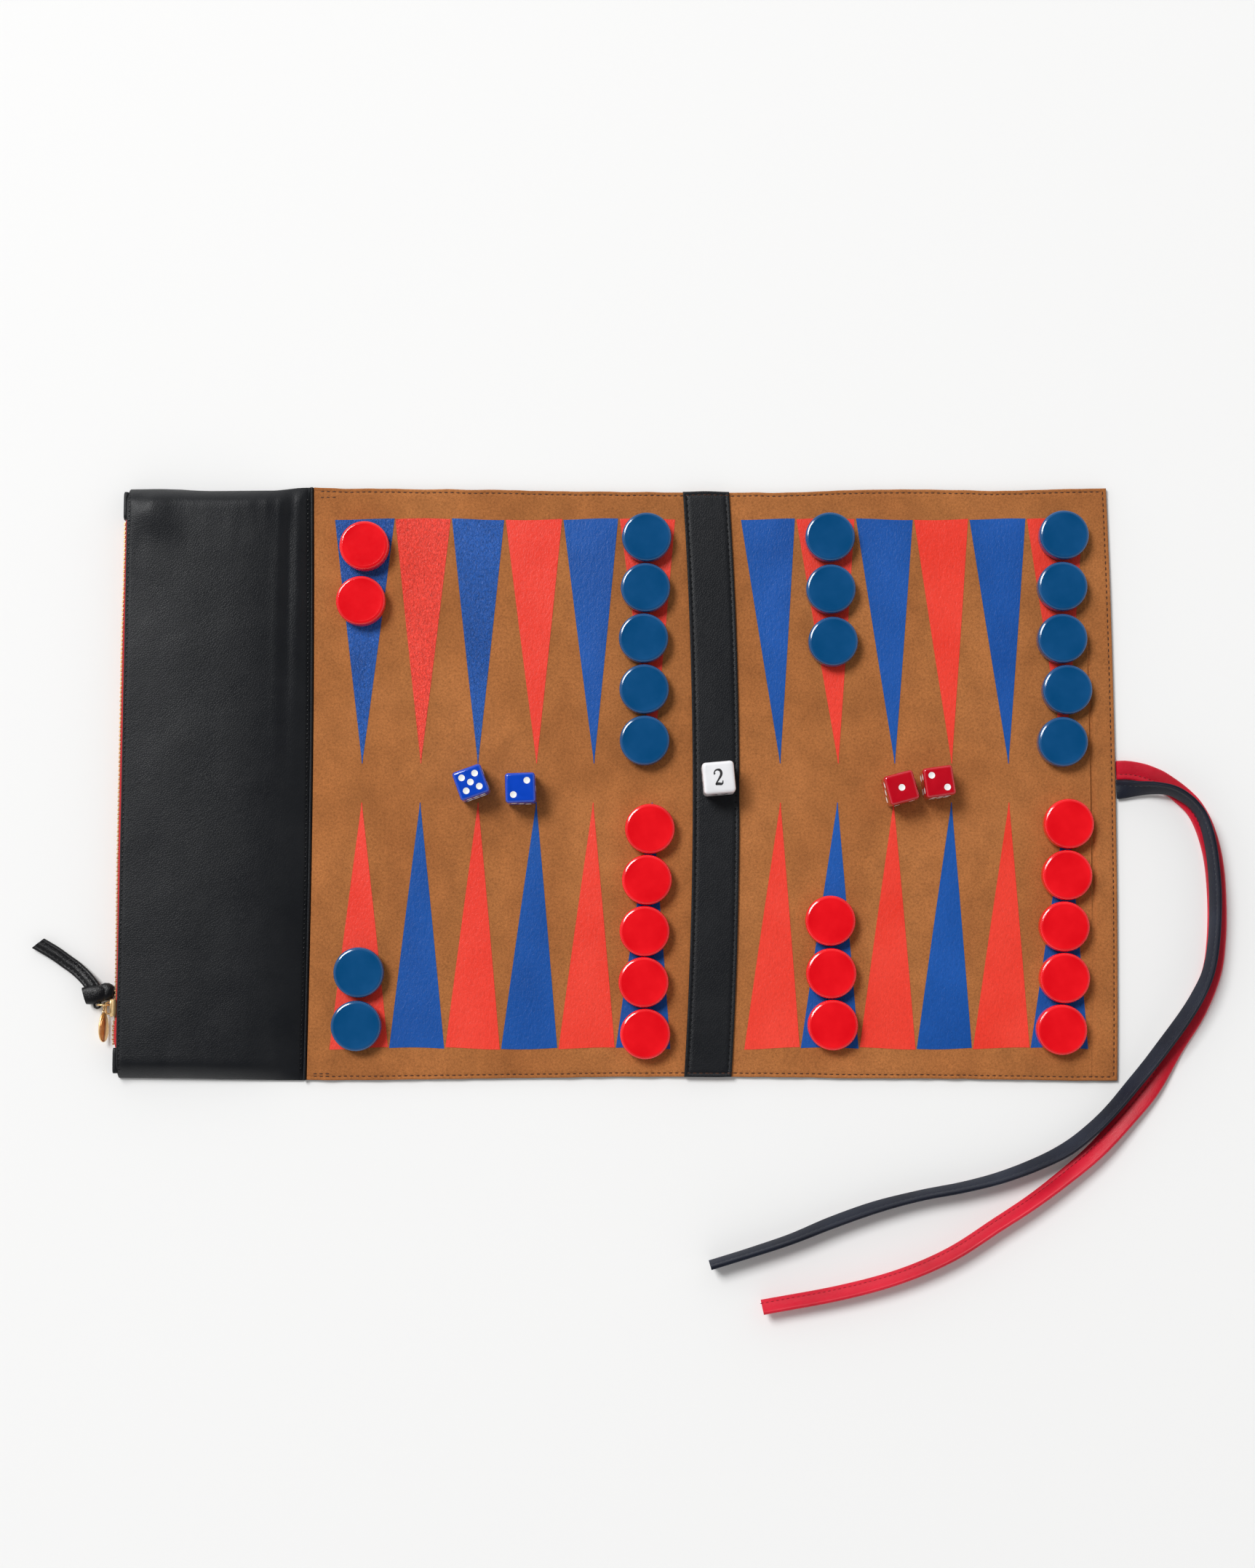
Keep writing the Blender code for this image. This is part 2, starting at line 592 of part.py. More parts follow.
def build_pull():
    """Leather pull: a knot whose loop runs round the ring, and its free tail."""
    knot = bmesh.new()
    rounded_box(knot, KNOT_SIZE, KNOT_ROUND)
    place = Matrix.Translation(KNOT_AT)
    bmesh.ops.transform(knot, matrix=place, verts=knot.verts)
    made = add_object("pull_knot", knot, BLACK_LEATHER)
    loop = bmesh.new()
    torus(loop, LOOP_AT, LOOP_RADIUS, LOOP_WIRE, (0, 0, 1), around=12, sides=6)
    join_solids(made, add_object("cutter_loop", loop, BLACK_LEATHER))
    build_strap("leather_pull", PULL_ROUTE, PULL_WIDTH, PULL_THICK, BLACK_LEATHER)


clear_scene()
build_mat()
build_men()
build_dice()
build_pouch()
build_zip()
build_slider()
build_rings()
build_charm()
build_pull()
build_strap("tie_strap_navy", NAVY_ROUTE, TIE_WIDTH, TIE_THICK, NAVY_LEATHER)
build_strap("tie_strap_red", RED_ROUTE, TIE_WIDTH, TIE_THICK, RED_LEATHER)
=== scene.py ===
"""Visual model of the roll-up backgammon set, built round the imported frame."""

import math
import random

import bmesh
import bpy
from mathutils import Matrix, Vector, noise


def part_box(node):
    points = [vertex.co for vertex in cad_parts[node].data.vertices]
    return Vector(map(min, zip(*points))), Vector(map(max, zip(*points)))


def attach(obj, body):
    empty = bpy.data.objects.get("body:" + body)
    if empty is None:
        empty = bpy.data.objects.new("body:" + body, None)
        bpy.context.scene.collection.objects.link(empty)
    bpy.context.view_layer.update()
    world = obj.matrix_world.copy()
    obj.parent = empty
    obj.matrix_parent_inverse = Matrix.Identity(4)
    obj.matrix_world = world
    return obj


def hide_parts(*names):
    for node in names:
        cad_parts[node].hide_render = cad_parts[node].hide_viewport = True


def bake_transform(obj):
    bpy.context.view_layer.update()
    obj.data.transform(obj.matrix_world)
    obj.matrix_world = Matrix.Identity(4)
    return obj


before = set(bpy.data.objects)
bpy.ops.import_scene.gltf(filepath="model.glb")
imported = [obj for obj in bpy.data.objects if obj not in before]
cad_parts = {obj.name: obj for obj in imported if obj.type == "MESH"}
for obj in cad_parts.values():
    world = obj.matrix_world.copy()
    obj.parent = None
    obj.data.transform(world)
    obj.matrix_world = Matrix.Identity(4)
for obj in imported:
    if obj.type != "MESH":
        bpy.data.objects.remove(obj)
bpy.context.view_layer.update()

MM = 0.001
UP = Vector((0, 0, 1))

# Mat layout in metres; a bow is how far a line bulges to the right at mid depth
SEAM_X = -0.133
BAR_LEFT_X = 0.0549
BAR_RIGHT_X = 0.0790
BAR_MIDDLE_X = 0.0670
MAT_RIGHT_X = 0.2711
BAR_BOW = 0.0046
SEAM_BOW = 0.0013
POUCH_LEFT_X = -0.2266
RIGHT_BOW = 0.0019
HALF_DEPTH = 0.1485
DEPTH = 2 * HALF_DEPTH
BACKING_TOP = 0.0012
SUEDE_TOP = 0.0024
STRIP_TOP = 0.0037
BACKING_SPLIT_X = -0.040

# Folds: the two bodies, then where the bending starts and ends
FOLD_LEFT = ("board_left", "bar", 0.0545, 0.0612)
FOLD_RIGHT = ("bar", "board_right", 0.0782, 0.0844)
FOLD_POUCH = ("pouch", "board_left", -0.1365, -0.1300)

# Top and bottom edges of the mat, which wander a little: (x, y)
TOP_EDGE = [(-0.229, 0.1509), (-0.212, 0.1511), (-0.185, 0.1501), (-0.155, 0.1503), (-0.1355, 0.1517),
            (-0.115, 0.1513), (0.056, 0.1494), (0.105, 0.1491), (0.145, 0.1505), (0.185, 0.1508),
            (0.215, 0.1500), (0.273, 0.1514)]
BOTTOM_EDGE = [(-0.229, -0.1473), (-0.133, -0.1484), (0.055, -0.1467), (0.170, -0.1476), (0.273, -0.1487)]

# Grid lines by their distance from a finished edge
EDGE_STATIONS = [0.0, 0.00012, 0.0004, 0.0008, 0.0012, 0.0016, 0.0019, 0.0022, 0.0027, 0.0038, 0.0054]
COARSE_STATIONS = [0.0, 0.0002, 0.0006, 0.002]
SUEDE_STEP = 0.0027
BACKING_STEP = 0.006
STITCH_INSET = 0.0019
# Stitches: pitch, length, width, height
MAT_STITCH = (0.0030, 0.0023, 0.00072, 0.00034)
TACK_STITCH = (0.0030, 0.0023, 0.0006, 0.0003)
BAR_STITCH = (0.0033, 0.0023, 0.0007, 0.0004)
POUCH_STITCH = (0.0024, 0.0017, 0.0007, 0.00045)
TIE_STITCH = (0.0026, 0.0019, 0.00055, 0.00024)
PULL_STITCH = (0.0025, 0.0018, 0.00045, 0.00022)


# ---------------------------------------------------------------- small tools

def lerp_table(table, x):
    """Value at x from a table of (x, value), eased between its rows."""
    if x <= table[0][0]:
        return table[0][1]
    for (x0, y0), (x1, y1) in zip(table, table[1:]):
        if x <= x1:
            t = (x - x0) / (x1 - x0)
            t = t * t * (3 - 2 * t)
            return y0 + (y1 - y0) * t
    return table[-1][1]


def smoothstep(low, high, x):
    t = max(0.0, min(1.0, (x - low) / (high - low)))
    return t * t * (3 - 2 * t)


def wobble(x, y, size, seed):
    """Smooth noise from -1 to 1 with features of that size in metres."""
    return noise.noise(Vector((x / size + seed * 7.3, y / size - seed * 3.1, seed)))


def bow_at(x):
    """How far the mat's lines bulge to the right at mid depth."""
    if x <= SEAM_X:
        return SEAM_BOW * smoothstep(POUCH_LEFT_X, SEAM_X, x)
    if x <= BAR_LEFT_X:
        return SEAM_BOW + (BAR_BOW - SEAM_BOW) * ((x - SEAM_X) / (BAR_LEFT_X - SEAM_X)) ** 2
    if x <= BAR_RIGHT_X:
        return BAR_BOW
    return BAR_BOW + (RIGHT_BOW - BAR_BOW) * (x - BAR_RIGHT_X) / (MAT_RIGHT_X - BAR_RIGHT_X)


def stations(length, step, low_edge=True, high_edge=True, fine=EDGE_STATIONS):
    """Positions along a length: close together near the finished edges."""
    low = list(fine) if low_edge else [0.0]
    high = [length - d for d in reversed(fine)] if high_edge else [length]
    count = max(1, round((high[0] - low[-1]) / step))
    middle = [low[-1] + (high[0] - low[-1]) * i / count for i in range(1, count)]
    return low + middle + high


def put_in_scene(name, data):
    made = bpy.data.objects.new(name, data)
    bpy.context.scene.collection.objects.link(made)
    return made


def soften(mesh, angle):
    """Smooth shading, with edges sharper than the angle in degrees kept crisp."""
    mesh.shade_smooth()
    mesh.set_sharp_from_angle(angle=math.radians(angle))


def bend(piece, fold):
    """Bakes a piece's placement into its mesh; the piece is not bent or moved to another body."""
    body_a, body_b, start, end = fold
    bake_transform(piece)


def object_from(name, work, materials, angle):
    """Turns a bmesh into an object in the scene, with its normals facing out."""
    mesh = bpy.data.meshes.new(name)
    bmesh.ops.recalc_face_normals(work, faces=work.faces)
    work.to_mesh(mesh)
    work.free()
    for material in materials:
        mesh.materials.append(material)
    soften(mesh, angle)
    return put_in_scene(name, mesh)


def add_mesh(name, verts, faces, material, body=None, angle=40.0):
    mesh = bpy.data.meshes.new(name)
    mesh.from_pydata(verts, [], faces)
    work = bmesh.new()
    work.from_mesh(mesh)
    bpy.data.meshes.remove(mesh)
    made = object_from(name, work, [material], angle)
    if body:
        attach(made, body)
    return made


class Shape:
    """Collects closed solids for one piece."""

    def __init__(self):
        self.verts = []
        self.faces = []

    def add(self, verts, faces):
        base = len(self.verts)
        self.verts.extend(tuple(v) for v in verts)
        self.faces.extend(tuple(i + base for i in face) for face in faces)

    def tube(self, rings, closed=False):
        """Joins rings of equally many points; open tubes get flat ends."""
        base = len(self.verts)
        n, count = len(rings[0]), len(rings)
        for ring in rings:
            self.verts.extend(tuple(v) for v in ring)
        for i in range(count if closed else count - 1):
            j = (i + 1) % count
            for k in range(n):
                m = (k + 1) % n
                a, b = base + i * n, base + j * n
                self.faces.append((a + k, a + m, b + m, b + k))
        if not closed:
            self.faces.append(tuple(base + k for k in reversed(range(n))))
            self.faces.append(tuple(base + (count - 1) * n + k for k in range(n)))

    def stitch(self, at, along, length, width, height, up=UP):
        """One thread stitch shaped like a grain of rice."""
        along = along.normalized()
        across = up.cross(along).normalized()
        rings = []
        for share, size in ((-0.5, 0.25), (-0.3, 0.85), (0.0, 1.0), (0.3, 0.85), (0.5, 0.25)):
            rings.append([at + along * length * share + across * (0.5 * width * size * c)
                          + up * (height * size * s - height * (1 - size)) for c, s in circle(6)])
        self.tube(rings)

    def make(self, name, material, body=None, angle=40.0):
        return add_mesh(name, self.verts, self.faces, material, body, angle)


def sheet_faces(nu, nv):
    """Faces of a closed sheet of two layers, each with nv rows of nu points."""
    size = nu * nv
    faces = []
    for j in range(nv - 1):
        for i in range(nu - 1):
            a = j * nu + i
            b = a + size
            faces += [(a, a + 1, a + nu + 1, a + nu), (b, b + nu, b + nu + 1, b + 1)]
    rim = list(range(nu)) + [j * nu + nu - 1 for j in range(1, nv)]
    rim += [(nv - 1) * nu + i for i in range(nu - 2, -1, -1)] + [j * nu for j in range(nv - 2, 0, -1)]
    return faces + [(a, a + size, b + size, b) for a, b in zip(rim, rim[1:] + rim[:1])]


def slab(name, us, vs, place, top, bottom, material):
    """Closed sheet on a grid: place gives x, y; top and bottom give z."""
    verts = []
    for side in (top, bottom):
        for v in vs:
            for u in us:
                x, y = place(u, v)
                verts.append((x, y, side(x, y)))
    return add_mesh(name, verts, sheet_faces(len(us), len(vs)), material, angle=35.0)


def circle(count, start=0.0):
    """Cosine and sine at even steps round a circle."""
    angles = [2 * math.pi * (k + start) / count for k in range(count)]
    return [(math.cos(a), math.sin(a)) for a in angles]


def squared(value, power):
    """Signed power, which turns a circle's coordinates into a rounded square's."""
    return abs(value) ** power * (1 if value > 0 else -1)


def smooth_path(points, steps):
    """Catmull-Rom points through a route; each point may carry extra numbers."""
    pts = [list(map(float, p)) for p in points]
    first = [2 * a - b for a, b in zip(pts[0], pts[1])]
    last = [2 * a - b for a, b in zip(pts[-1], pts[-2])]
    pts = [first] + pts + [last]
    line = []
    for i in range(1, len(pts) - 2):
        for s in range(steps):
            t = s / steps
            line.append([
                0.5 * (2 * b + (c - a) * t + (2 * a - 5 * b + 4 * c - d) * t * t
                       + (3 * b - a - 3 * c + d) * t ** 3)
                for a, b, c, d in zip(pts[i - 1], pts[i], pts[i + 1], pts[i + 2])
            ])
    line.append(pts[-2])
    return line


def length_of(line):
    """Length along a line of points."""
    return sum((Vector(a[:3]) - Vector(b[:3])).length for a, b in zip(line, line[1:]))


def evenly(lengths, pitch, first, last=math.inf):
    """Segment number and share along it, for stitches at an even pitch along a line."""
    travelled, due = 0.0, first
    for i, step in enumerate(lengths):
        while due < travelled + step and due < last:
            yield i, (due - travelled) / step
            due += pitch
        travelled += step


# ---------------------------------------------------------------- materials

class Look:
    """A Principled material with object-space procedural textures."""

    def __init__(self, name, colour, roughness, metallic=0.0, **sockets):
        self.mat = bpy.data.materials.new(name)
        self.mat.use_nodes = True
        self.tree = self.mat.node_tree
        self.shader = self.tree.nodes["Principled BSDF"]
        self.put("Base Color", (*colour, 1.0))
        self.put("Roughness", roughness)
        self.put("Metallic", metallic)
        for key, value in sockets.items():
            self.put(key.replace("_", " "), value)
        self.coords = self.tree.nodes.new("ShaderNodeTexCoord").outputs["Object"]
        self.normal = None

    def put(self, socket, value):
        self.shader.inputs[socket].default_value = value

    def node(self, kind, **settings):
        made = self.tree.nodes.new(kind)
        for key, value in settings.items():
            setattr(made, key, value)
        return made

    def link(self, a, b):
        self.tree.links.new(a, b)

    def scaled(self, scale):
        mapping = self.node("ShaderNodeMapping")
        mapping.inputs["Scale"].default_value = scale if hasattr(scale, "__len__") else (scale, scale, scale)
        self.link(self.coords, mapping.inputs["Vector"])
        return mapping.outputs["Vector"]

    def noise(self, scale, detail=3.0, rough=0.5, distortion=0.0):
        made = self.node("ShaderNodeTexNoise")
        for key, value in (("Scale", 1.0), ("Detail", detail), ("Roughness", rough),
                           ("Distortion", distortion)):
            made.inputs[key].default_value = value
        self.link(self.scaled(scale), made.inputs["Vector"])
        return made.outputs["Fac"]

    def pores(self, scale):
        made = self.node("ShaderNodeTexVoronoi", feature="DISTANCE_TO_EDGE")
        made.inputs["Scale"].default_value = 1.0
        made.inputs["Randomness"].default_value = 1.0
        self.link(self.scaled(scale), made.inputs["Vector"])
        return made.outputs["Distance"]

    def bands(self, direction, distortion):
        made = self.node("ShaderNodeTexWave", wave_type="BANDS", bands_direction=direction)
        made.inputs["Scale"].default_value = 420.0
        made.inputs["Distortion"].default_value = distortion
        self.link(self.scaled(1), made.inputs["Vector"])
        return made.outputs["Fac"]

    def ramp(self, value, stops):
        """Colour ramp; a stop is a position with a colour or a grey level."""
        made = self.node("ShaderNodeValToRGB")
        elements = made.color_ramp.elements
        while len(elements) < len(stops):
            elements.new(0.5)
        for element, (at, colour) in zip(elements, stops):
            element.position = at
            element.color = (*(colour if hasattr(colour, "__len__") else (colour, colour, colour)), 1.0)
        self.link(value, made.inputs["Fac"])
        return made.outputs["Color"]

    def multiply(self, a, b):
        made = self.node("ShaderNodeMix", data_type="RGBA", blend_type="MULTIPLY")
        made.inputs[0].default_value = 1.0
        self.link(a, made.inputs[6])
        self.link(b, made.inputs[7])
        return made.outputs[2]

    def colour(self, socket):
        self.link(socket, self.shader.inputs["Base Color"])

    def roughness(self, socket, low, high):
        made = self.node("ShaderNodeMapRange")
        made.inputs["To Min"].default_value = low
        made.inputs["To Max"].default_value = high
        self.link(socket, made.inputs["Value"])
        self.link(made.outputs["Result"], self.shader.inputs["Roughness"])

    def bump(self, height, strength, distance):
        made = self.node("ShaderNodeBump")
        made.inputs["Strength"].default_value = strength
        made.inputs["Distance"].default_value = distance
        self.link(height, made.inputs["Height"])
        if self.normal is not None:
            self.link(self.normal, made.inputs["Normal"])
        self.normal = made.outputs["Normal"]
        self.link(self.normal, self.shader.inputs["Normal"])


def suede_look():
    look = Look("tan_suede", (0.42, 0.155, 0.045), 0.95, Specular_IOR_Level=0.12,
                Sheen_Weight=0.2, Sheen_Roughness=0.5, Sheen_Tint=(0.9, 0.6, 0.4, 1.0))
    tone = look.ramp(look.noise(16, 3.0, 0.5), [
        (0.3, (0.345, 0.122, 0.036)), (0.5, (0.395, 0.144, 0.043)), (0.72, (0.45, 0.169, 0.053))])
    cloud = look.ramp(look.noise((75, 60, 75), 3.0, 0.55, 0.3), [(0.3, 0.88), (0.7, 1.10)])
    speckle = look.ramp(look.noise(900, 3.0, 0.75), [(0.28, 0.70), (0.5, 1.0), (0.75, 1.25)])
    nap = look.ramp(look.noise(2600, 2.0, 0.7), [(0.25, 0.84), (0.75, 1.12)])
    for shade in (cloud, speckle, nap):
        tone = look.multiply(tone, shade)
    look.colour(tone)
    look.bump(look.noise(2200, 2.0, 0.7), 0.4, 0.0003)
    look.bump(look.noise(450, 3.0, 0.6), 0.2, 0.0004)
    return look.mat


def leather_look(name, dark, mid, light, rough, grain=950.0, shine=0.22):
    """Leather with fine pores; grain is how many pores there are to the metre."""
    look = Look(name, mid, rough, Specular_IOR_Level=shine)
    look.colour(look.ramp(look.noise(35, 4.0, 0.55), [(0.32, dark), (0.52, mid), (0.75, light)]))
    look.roughness(look.noise(90, 3.0, 0.5), rough - 0.07, rough + 0.09)
    look.bump(look.ramp(look.pores(grain), [(0.0, 0.0), (0.22, 1.0)]), 0.35, 0.00012)
    look.bump(look.noise(260, 4.0, 0.6), 0.3, 0.0003)
    return look.mat


def point_look(name, dark, mid, light, crush=1.0):
    """Thin coloured leather: fine lengthwise wrinkles with a soft sheen, partly painted: lighter patches of
    painted sheen, and painted shade and highlight along the wrinkles.
    """
    look = Look(name, mid, 0.4, Specular_IOR_Level=0.30)
    # Broad patches: their lighter tones are painted sheen, and the same patches are made glossier
    painted_sheen_patches = look.noise((22, 20, 22), 2.0, 0.5, 0.3)
    tone = look.ramp(painted_sheen_patches, [(0.3, dark), (0.5, mid), (0.72, light)])
    # Wrinkle noise: the bump, and also painted shade in the creases and painted highlights on the ridges
    crease = look.noise((1100, 620, 1100), 3.0, 0.62, 0.8)
    shade = look.ramp(crease, [(0.30, 1.0 - 0.12 * crush), (0.5, 1.0), (0.72, 1.0 + 0.09 * crush)])
    look.colour(look.multiply(tone, shade))
    look.roughness(painted_sheen_patches, 0.42, 0.34)
    look.bump(crease, min(1.0, 0.55 * crush), 0.00028 * crush)
    look.bump(look.noise((420, 200, 420), 2.0, 0.5, 0.8), 0.28, 0.0005 * crush)
    return look.mat


def plastic_look(name, colour, rough, coat=0.4):
    look = Look(name, colour, rough, Coat_Weight=coat, Coat_Roughness=0.08, Specular_IOR_Level=0.5)
    cloudy = look.noise(60, 3.0, 0.5)
    paler = tuple(min(1.0, c * 1.1 + 0.006) for c in colour)
    deeper = tuple(c * 0.9 for c in colour)
    look.colour(look.ramp(cloudy, [(0.3, deeper), (0.7, paler)]))
    look.roughness(look.noise(500, 4.0, 0.7), rough - 0.04, rough + 0.06)
    look.bump(look.noise(160, 2.0, 0.5), 0.06, 0.0004)
    look.bump(look.noise((2500, 700, 2500), 2.0, 0.6), 0.03, 0.0001)
    return look.mat


def gold_look():
    look = Look("gold_plate", (0.90, 0.62, 0.30), 0.3, 1.0)
    look.colour(look.ramp(look.noise(420, 4.0, 0.6),
                          [(0.3, (0.80, 0.50, 0.22)), (0.6, (0.92, 0.66, 0.34)), (0.8, (0.98, 0.78, 0.48))]))
    look.roughness(look.noise(900, 3.0, 0.6), 0.24, 0.42)
    look.bump(look.noise(1200, 3.0, 0.6), 0.08, 0.0001)
    return look.mat


def thread_look(name, colour, rough=0.6):
    look = Look(name, colour, rough, Specular_IOR_Level=0.4)
    twist = look.noise(3000, 2.0, 0.6)
    dark, light = (tuple(min(1, c * share) for c in colour) for share in (0.6, 1.3))
    look.colour(look.ramp(twist, [(0.3, dark), (0.7, light)]))
    look.bump(twist, 0.4, 0.0001)
    return look.mat


def tape_look():
    look = Look("red_zip_tape", (0.62, 0.012, 0.016), 0.85, Sheen_Weight=0.3)
    weave = look.node("ShaderNodeMath", operation="MULTIPLY")
    look.link(look.bands("Y", 1.5), weave.inputs[0])
    look.link(look.bands("Z", 0.0), weave.inputs[1])
    look.colour(look.ramp(weave.outputs[0], [(0.0, (0.36, 0.004, 0.008)), (0.6, (0.72, 0.02, 0.024))]))
    look.bump(weave.outputs[0], 0.6, 0.0002)
    return look.mat


SUEDE = suede_look()
BLACK = leather_look("black_leather", (0.003, 0.004, 0.006), (0.005, 0.006, 0.008), (0.008, 0.009, 0.011),
                     0.44, shine=0.27)
BLACK_STRAP = leather_look("black_strap_leather", (0.002, 0.002, 0.003), (0.003, 0.003, 0.004),
                           (0.007, 0.007, 0.008), 0.28, 1500, 0.30)
BACKING = leather_look("black_backing", (0.008, 0.008, 0.009), (0.013, 0.013, 0.014), (0.020, 0.020, 0.022),
                       0.58)
NAVY = leather_look("navy_leather", (0.006, 0.008, 0.016), (0.010, 0.013, 0.024), (0.016, 0.021, 0.036),
                    0.46, 1500)
RED = leather_look("red_leather", (0.46, 0.002, 0.015), (0.60, 0.004, 0.024), (0.72, 0.010, 0.036),
                   0.4, 1500, 0.4)
# Dark, middle and light tones of the points; the lighter tones are painted sheen
RED_TONES_AND_PAINTED_SHEEN = ((0.80, 0.040, 0.022), (0.84, 0.051, 0.030), (0.88, 0.064, 0.040))
BLUE_TONES_AND_PAINTED_SHEEN = ((0.004, 0.068, 0.31), (0.008, 0.083, 0.36), (0.014, 0.100, 0.42))
POINTS = {
    "red": point_look("coral_point_leather", *RED_TONES_AND_PAINTED_SHEEN),
    "blue": point_look("blue_point_leather", *BLUE_TONES_AND_PAINTED_SHEEN),
    # Creased points: deeper wrinkles, with stronger painted crease shade and painted highlights
    "red_creased": point_look("creased_coral_leather", *RED_TONES_AND_PAINTED_SHEEN, crush=2.8),
    "blue_creased": point_look("creased_blue_leather", *BLUE_TONES_AND_PAINTED_SHEEN, crush=2.8),
}
MEN_RED = plastic_look("red_men_plastic", (0.82, 0.002, 0.008), 0.14)
MEN_BLUE = plastic_look("blue_men_plastic", (0.0, 0.066, 0.20), 0.14)
DICE_RED = plastic_look("red_dice_plastic", (0.50, 0.0, 0.010), 0.12, 0.6)
DICE_BLUE = plastic_look("blue_dice_plastic", (0.0, 0.055, 0.52), 0.12, 0.6)
WHITE = plastic_look("white_plastic", (0.84, 0.84, 0.86), 0.2)
PIP = plastic_look("white_pips", (0.86, 0.86, 0.84), 0.45, 0.0)
INK = plastic_look("black_ink", (0.012, 0.012, 0.014), 0.4, 0.0)
GOLD = gold_look()
BROWN_THREAD = thread_look("brown_thread", (0.055, 0.017, 0.006))
BLACK_THREAD = thread_look("black_thread", (0.003, 0.003, 0.004), 0.3)
NAVY_THREAD = thread_look("navy_thread", (0.016, 0.020, 0.032), 0.45)
DARK_RED_THREAD = thread_look("dark_red_thread", (0.25, 0.002, 0.010), 0.45)
TAPE = tape_look()


# ---------------------------------------------------------------- camera

CAMERA_FOOT = Vector((0.027, 0.0, 0.0))
CAMERA_DISTANCE = 1.144
CAMERA_TILT = math.radians(5.2)
camera_data = bpy.data.cameras.new("camera")
camera_data.sensor_fit = "VERTICAL"
camera_data.sensor_height = 36.0
camera_data.sensor_width = 28.8
camera_data.lens = 52.0
camera = put_in_scene("camera", camera_data)
camera.location = CAMERA_FOOT + CAMERA_DISTANCE * Vector((0, -math.sin(CAMERA_TILT), math.cos(CAMERA_TILT)))
camera.rotation_euler = (CAMERA_TILT, 0.0, 0.0)
bpy.context.scene.camera = camera


# ---------------------------------------------------------------- tie straps

TIE_WIDTH = 0.0095
TIE_THICK = 0.0022
TIE_STEPS = 8
# The navy strap leans inward by this much between two of its route points, fading over two more
NAVY_LEAN = 0.0008
LEAN_FROM, LEAN_TO, LEAN_FADE = 6, 14, 2
# Where the straps are sewn, as shares of their half width and thickness, and the first stitch
TIE_SEAM_ACROSS, TIE_SEAM_UP, TIE_FIRST_STITCH = 0.46, 0.31, 0.002
# Route points in millimetres, then the strap's roll in degrees, which lifts its outer edge
NAVY_ROUTE = [
    (273.6, -3.1, 1.7, 0), (277.4, -3.0, 3.3, 26), (283.0, -2.8, 4.7, 48), (290.0, -2.6, 6.1, 60),
    (297.6, -3.4, 7.5, 67), (304.5, -5.8, 7.8, 71), (311.0, -10.3, 7.8, 75), (316.0, -17.8, 7.8, 76),
    (319.3, -30.0, 7.7, 74), (321.0, -46.0, 7.7, 73), (321.2, -62.2, 7.7, 72), (320.0, -79.3, 7.7, 73),
    (317.0, -94.5, 7.7, 70), (310.7, -108.0, 7.6, 64), (301.7, -121.6, 7.1, 60), (291.0, -135.3, 5.8, 58),
    (279.7, -148.6, 5.0, 61), (268.0, -162.2, 5.0, 63), (257.5, -172.4, 5.0, 61), (245.0, -181.9, 4.9, 58),
    (230.3, -189.2, 5.0, 62), (211.6, -196.1, 5.1, 66), (192.6, -200.9, 5.2, 70), (172.0, -204.8, 5.2, 70),
    (150.0, -210.4, 5.1, 66), (128.0, -218.0, 5.1, 66), (108.0, -226.0, 5.2, 72), (88.0, -232.6, 5.2, 75),
    (67.7, -238.8, 5.2, 75),
]
RED_ROUTE = [
    (273.6, 6.8, 1.7, 0), (279.0, 6.9, 1.4, 0), (285.0, 6.0, 1.25, 0), (291.3, 4.0, 1.2, 0),
    (297.0, 1.1, 1.2, 0), (305.4, -5.0, 1.2, 0), (313.0, -12.9, 1.2, 0), (318.4, -24.5, 1.2, 0),
    (321.8, -40.0, 1.2, 0), (322.9, -60.0, 1.2, 0), (322.1, -79.1, 1.2, 0), (319.3, -95.5, 1.2, 0),
    (311.7, -113.6, 1.2, 0), (299.8, -132.0, 1.25, 0), (287.5, -152.0, 2.1, 9), (273.8, -168.0, 3.0, 22),
    (258.6, -183.7, 4.0, 37), (242.2, -197.1, 4.5, 48), (226.5, -208.6, 4.7, 54), (209.6, -219.4, 4.8, 57),
    (187.0, -233.6, 4.8, 57), (161.5, -244.4, 4.8, 57), (131.7, -252.4, 4.7, 54), (93.4, -259.4, 4.7, 54),
]


def strap_frames(route, steps):
    """Point, across, up and ahead directions at each step of a rolled strap."""
    line = smooth_path(route, steps)
    frames = []
    for i, p in enumerate(line):
        ahead = Vector(line[min(i + 1, len(line) - 1)][:3]) - Vector(line[max(i - 1, 0)][:3])
        ahead.normalize()
        across = UP.cross(ahead).normalized()
        up = ahead.cross(across).normalized()
        roll = Matrix.Rotation(math.radians(p[3]), 3, ahead)
        frames.append((Vector(p[:3]) * MM, roll @ across, roll @ up, ahead))
    return frames


def folded_section(width, thick):
    """Strap folded lengthwise: a plump round fold on one side, sewn flat edges on the other."""
    half = width / 2
    cut = half - 0.0003
    outline = []
    for k in range(9):
        a = math.pi * (0.5 + k / 8)
        outline.append((-half + thick * 0.5 + thick * 0.5 * math.cos(a), thick * 0.5 * math.sin(a)))
    for x, z in ((-half * 0.3, -0.46), (half * 0.3, -0.42), (half * 0.7, -0.42), (cut, -0.42), (half, -0.32),
                 (half, -0.07), (cut, 0.0), (half, 0.07), (half, 0.32), (cut, 0.42), (half * 0.74, 0.42),
                 (half * 0.52, 0.33), (half * 0.46, 0.31), (half * 0.40, 0.34), (half * 0.15, 0.44),
                 (-half * 0.3, 0.5)):
        outline.append((x, thick * z))
    return outline


def lean_inward(frames, reach):
    """Moves a strap a little towards the inside of its bend."""
    first, last, fade = LEAN_FROM * TIE_STEPS, LEAN_TO * TIE_STEPS, LEAN_FADE * TIE_STEPS
    moved = []
    for i, (at, across, up, ahead) in enumerate(frames):
        share = smoothstep(first - fade, first, i) * (1 - smoothstep(last, last + fade, i))
        inward = ahead.cross(UP).normalized()
        moved.append((at + inward * (reach * share), across, up, ahead))
    return moved


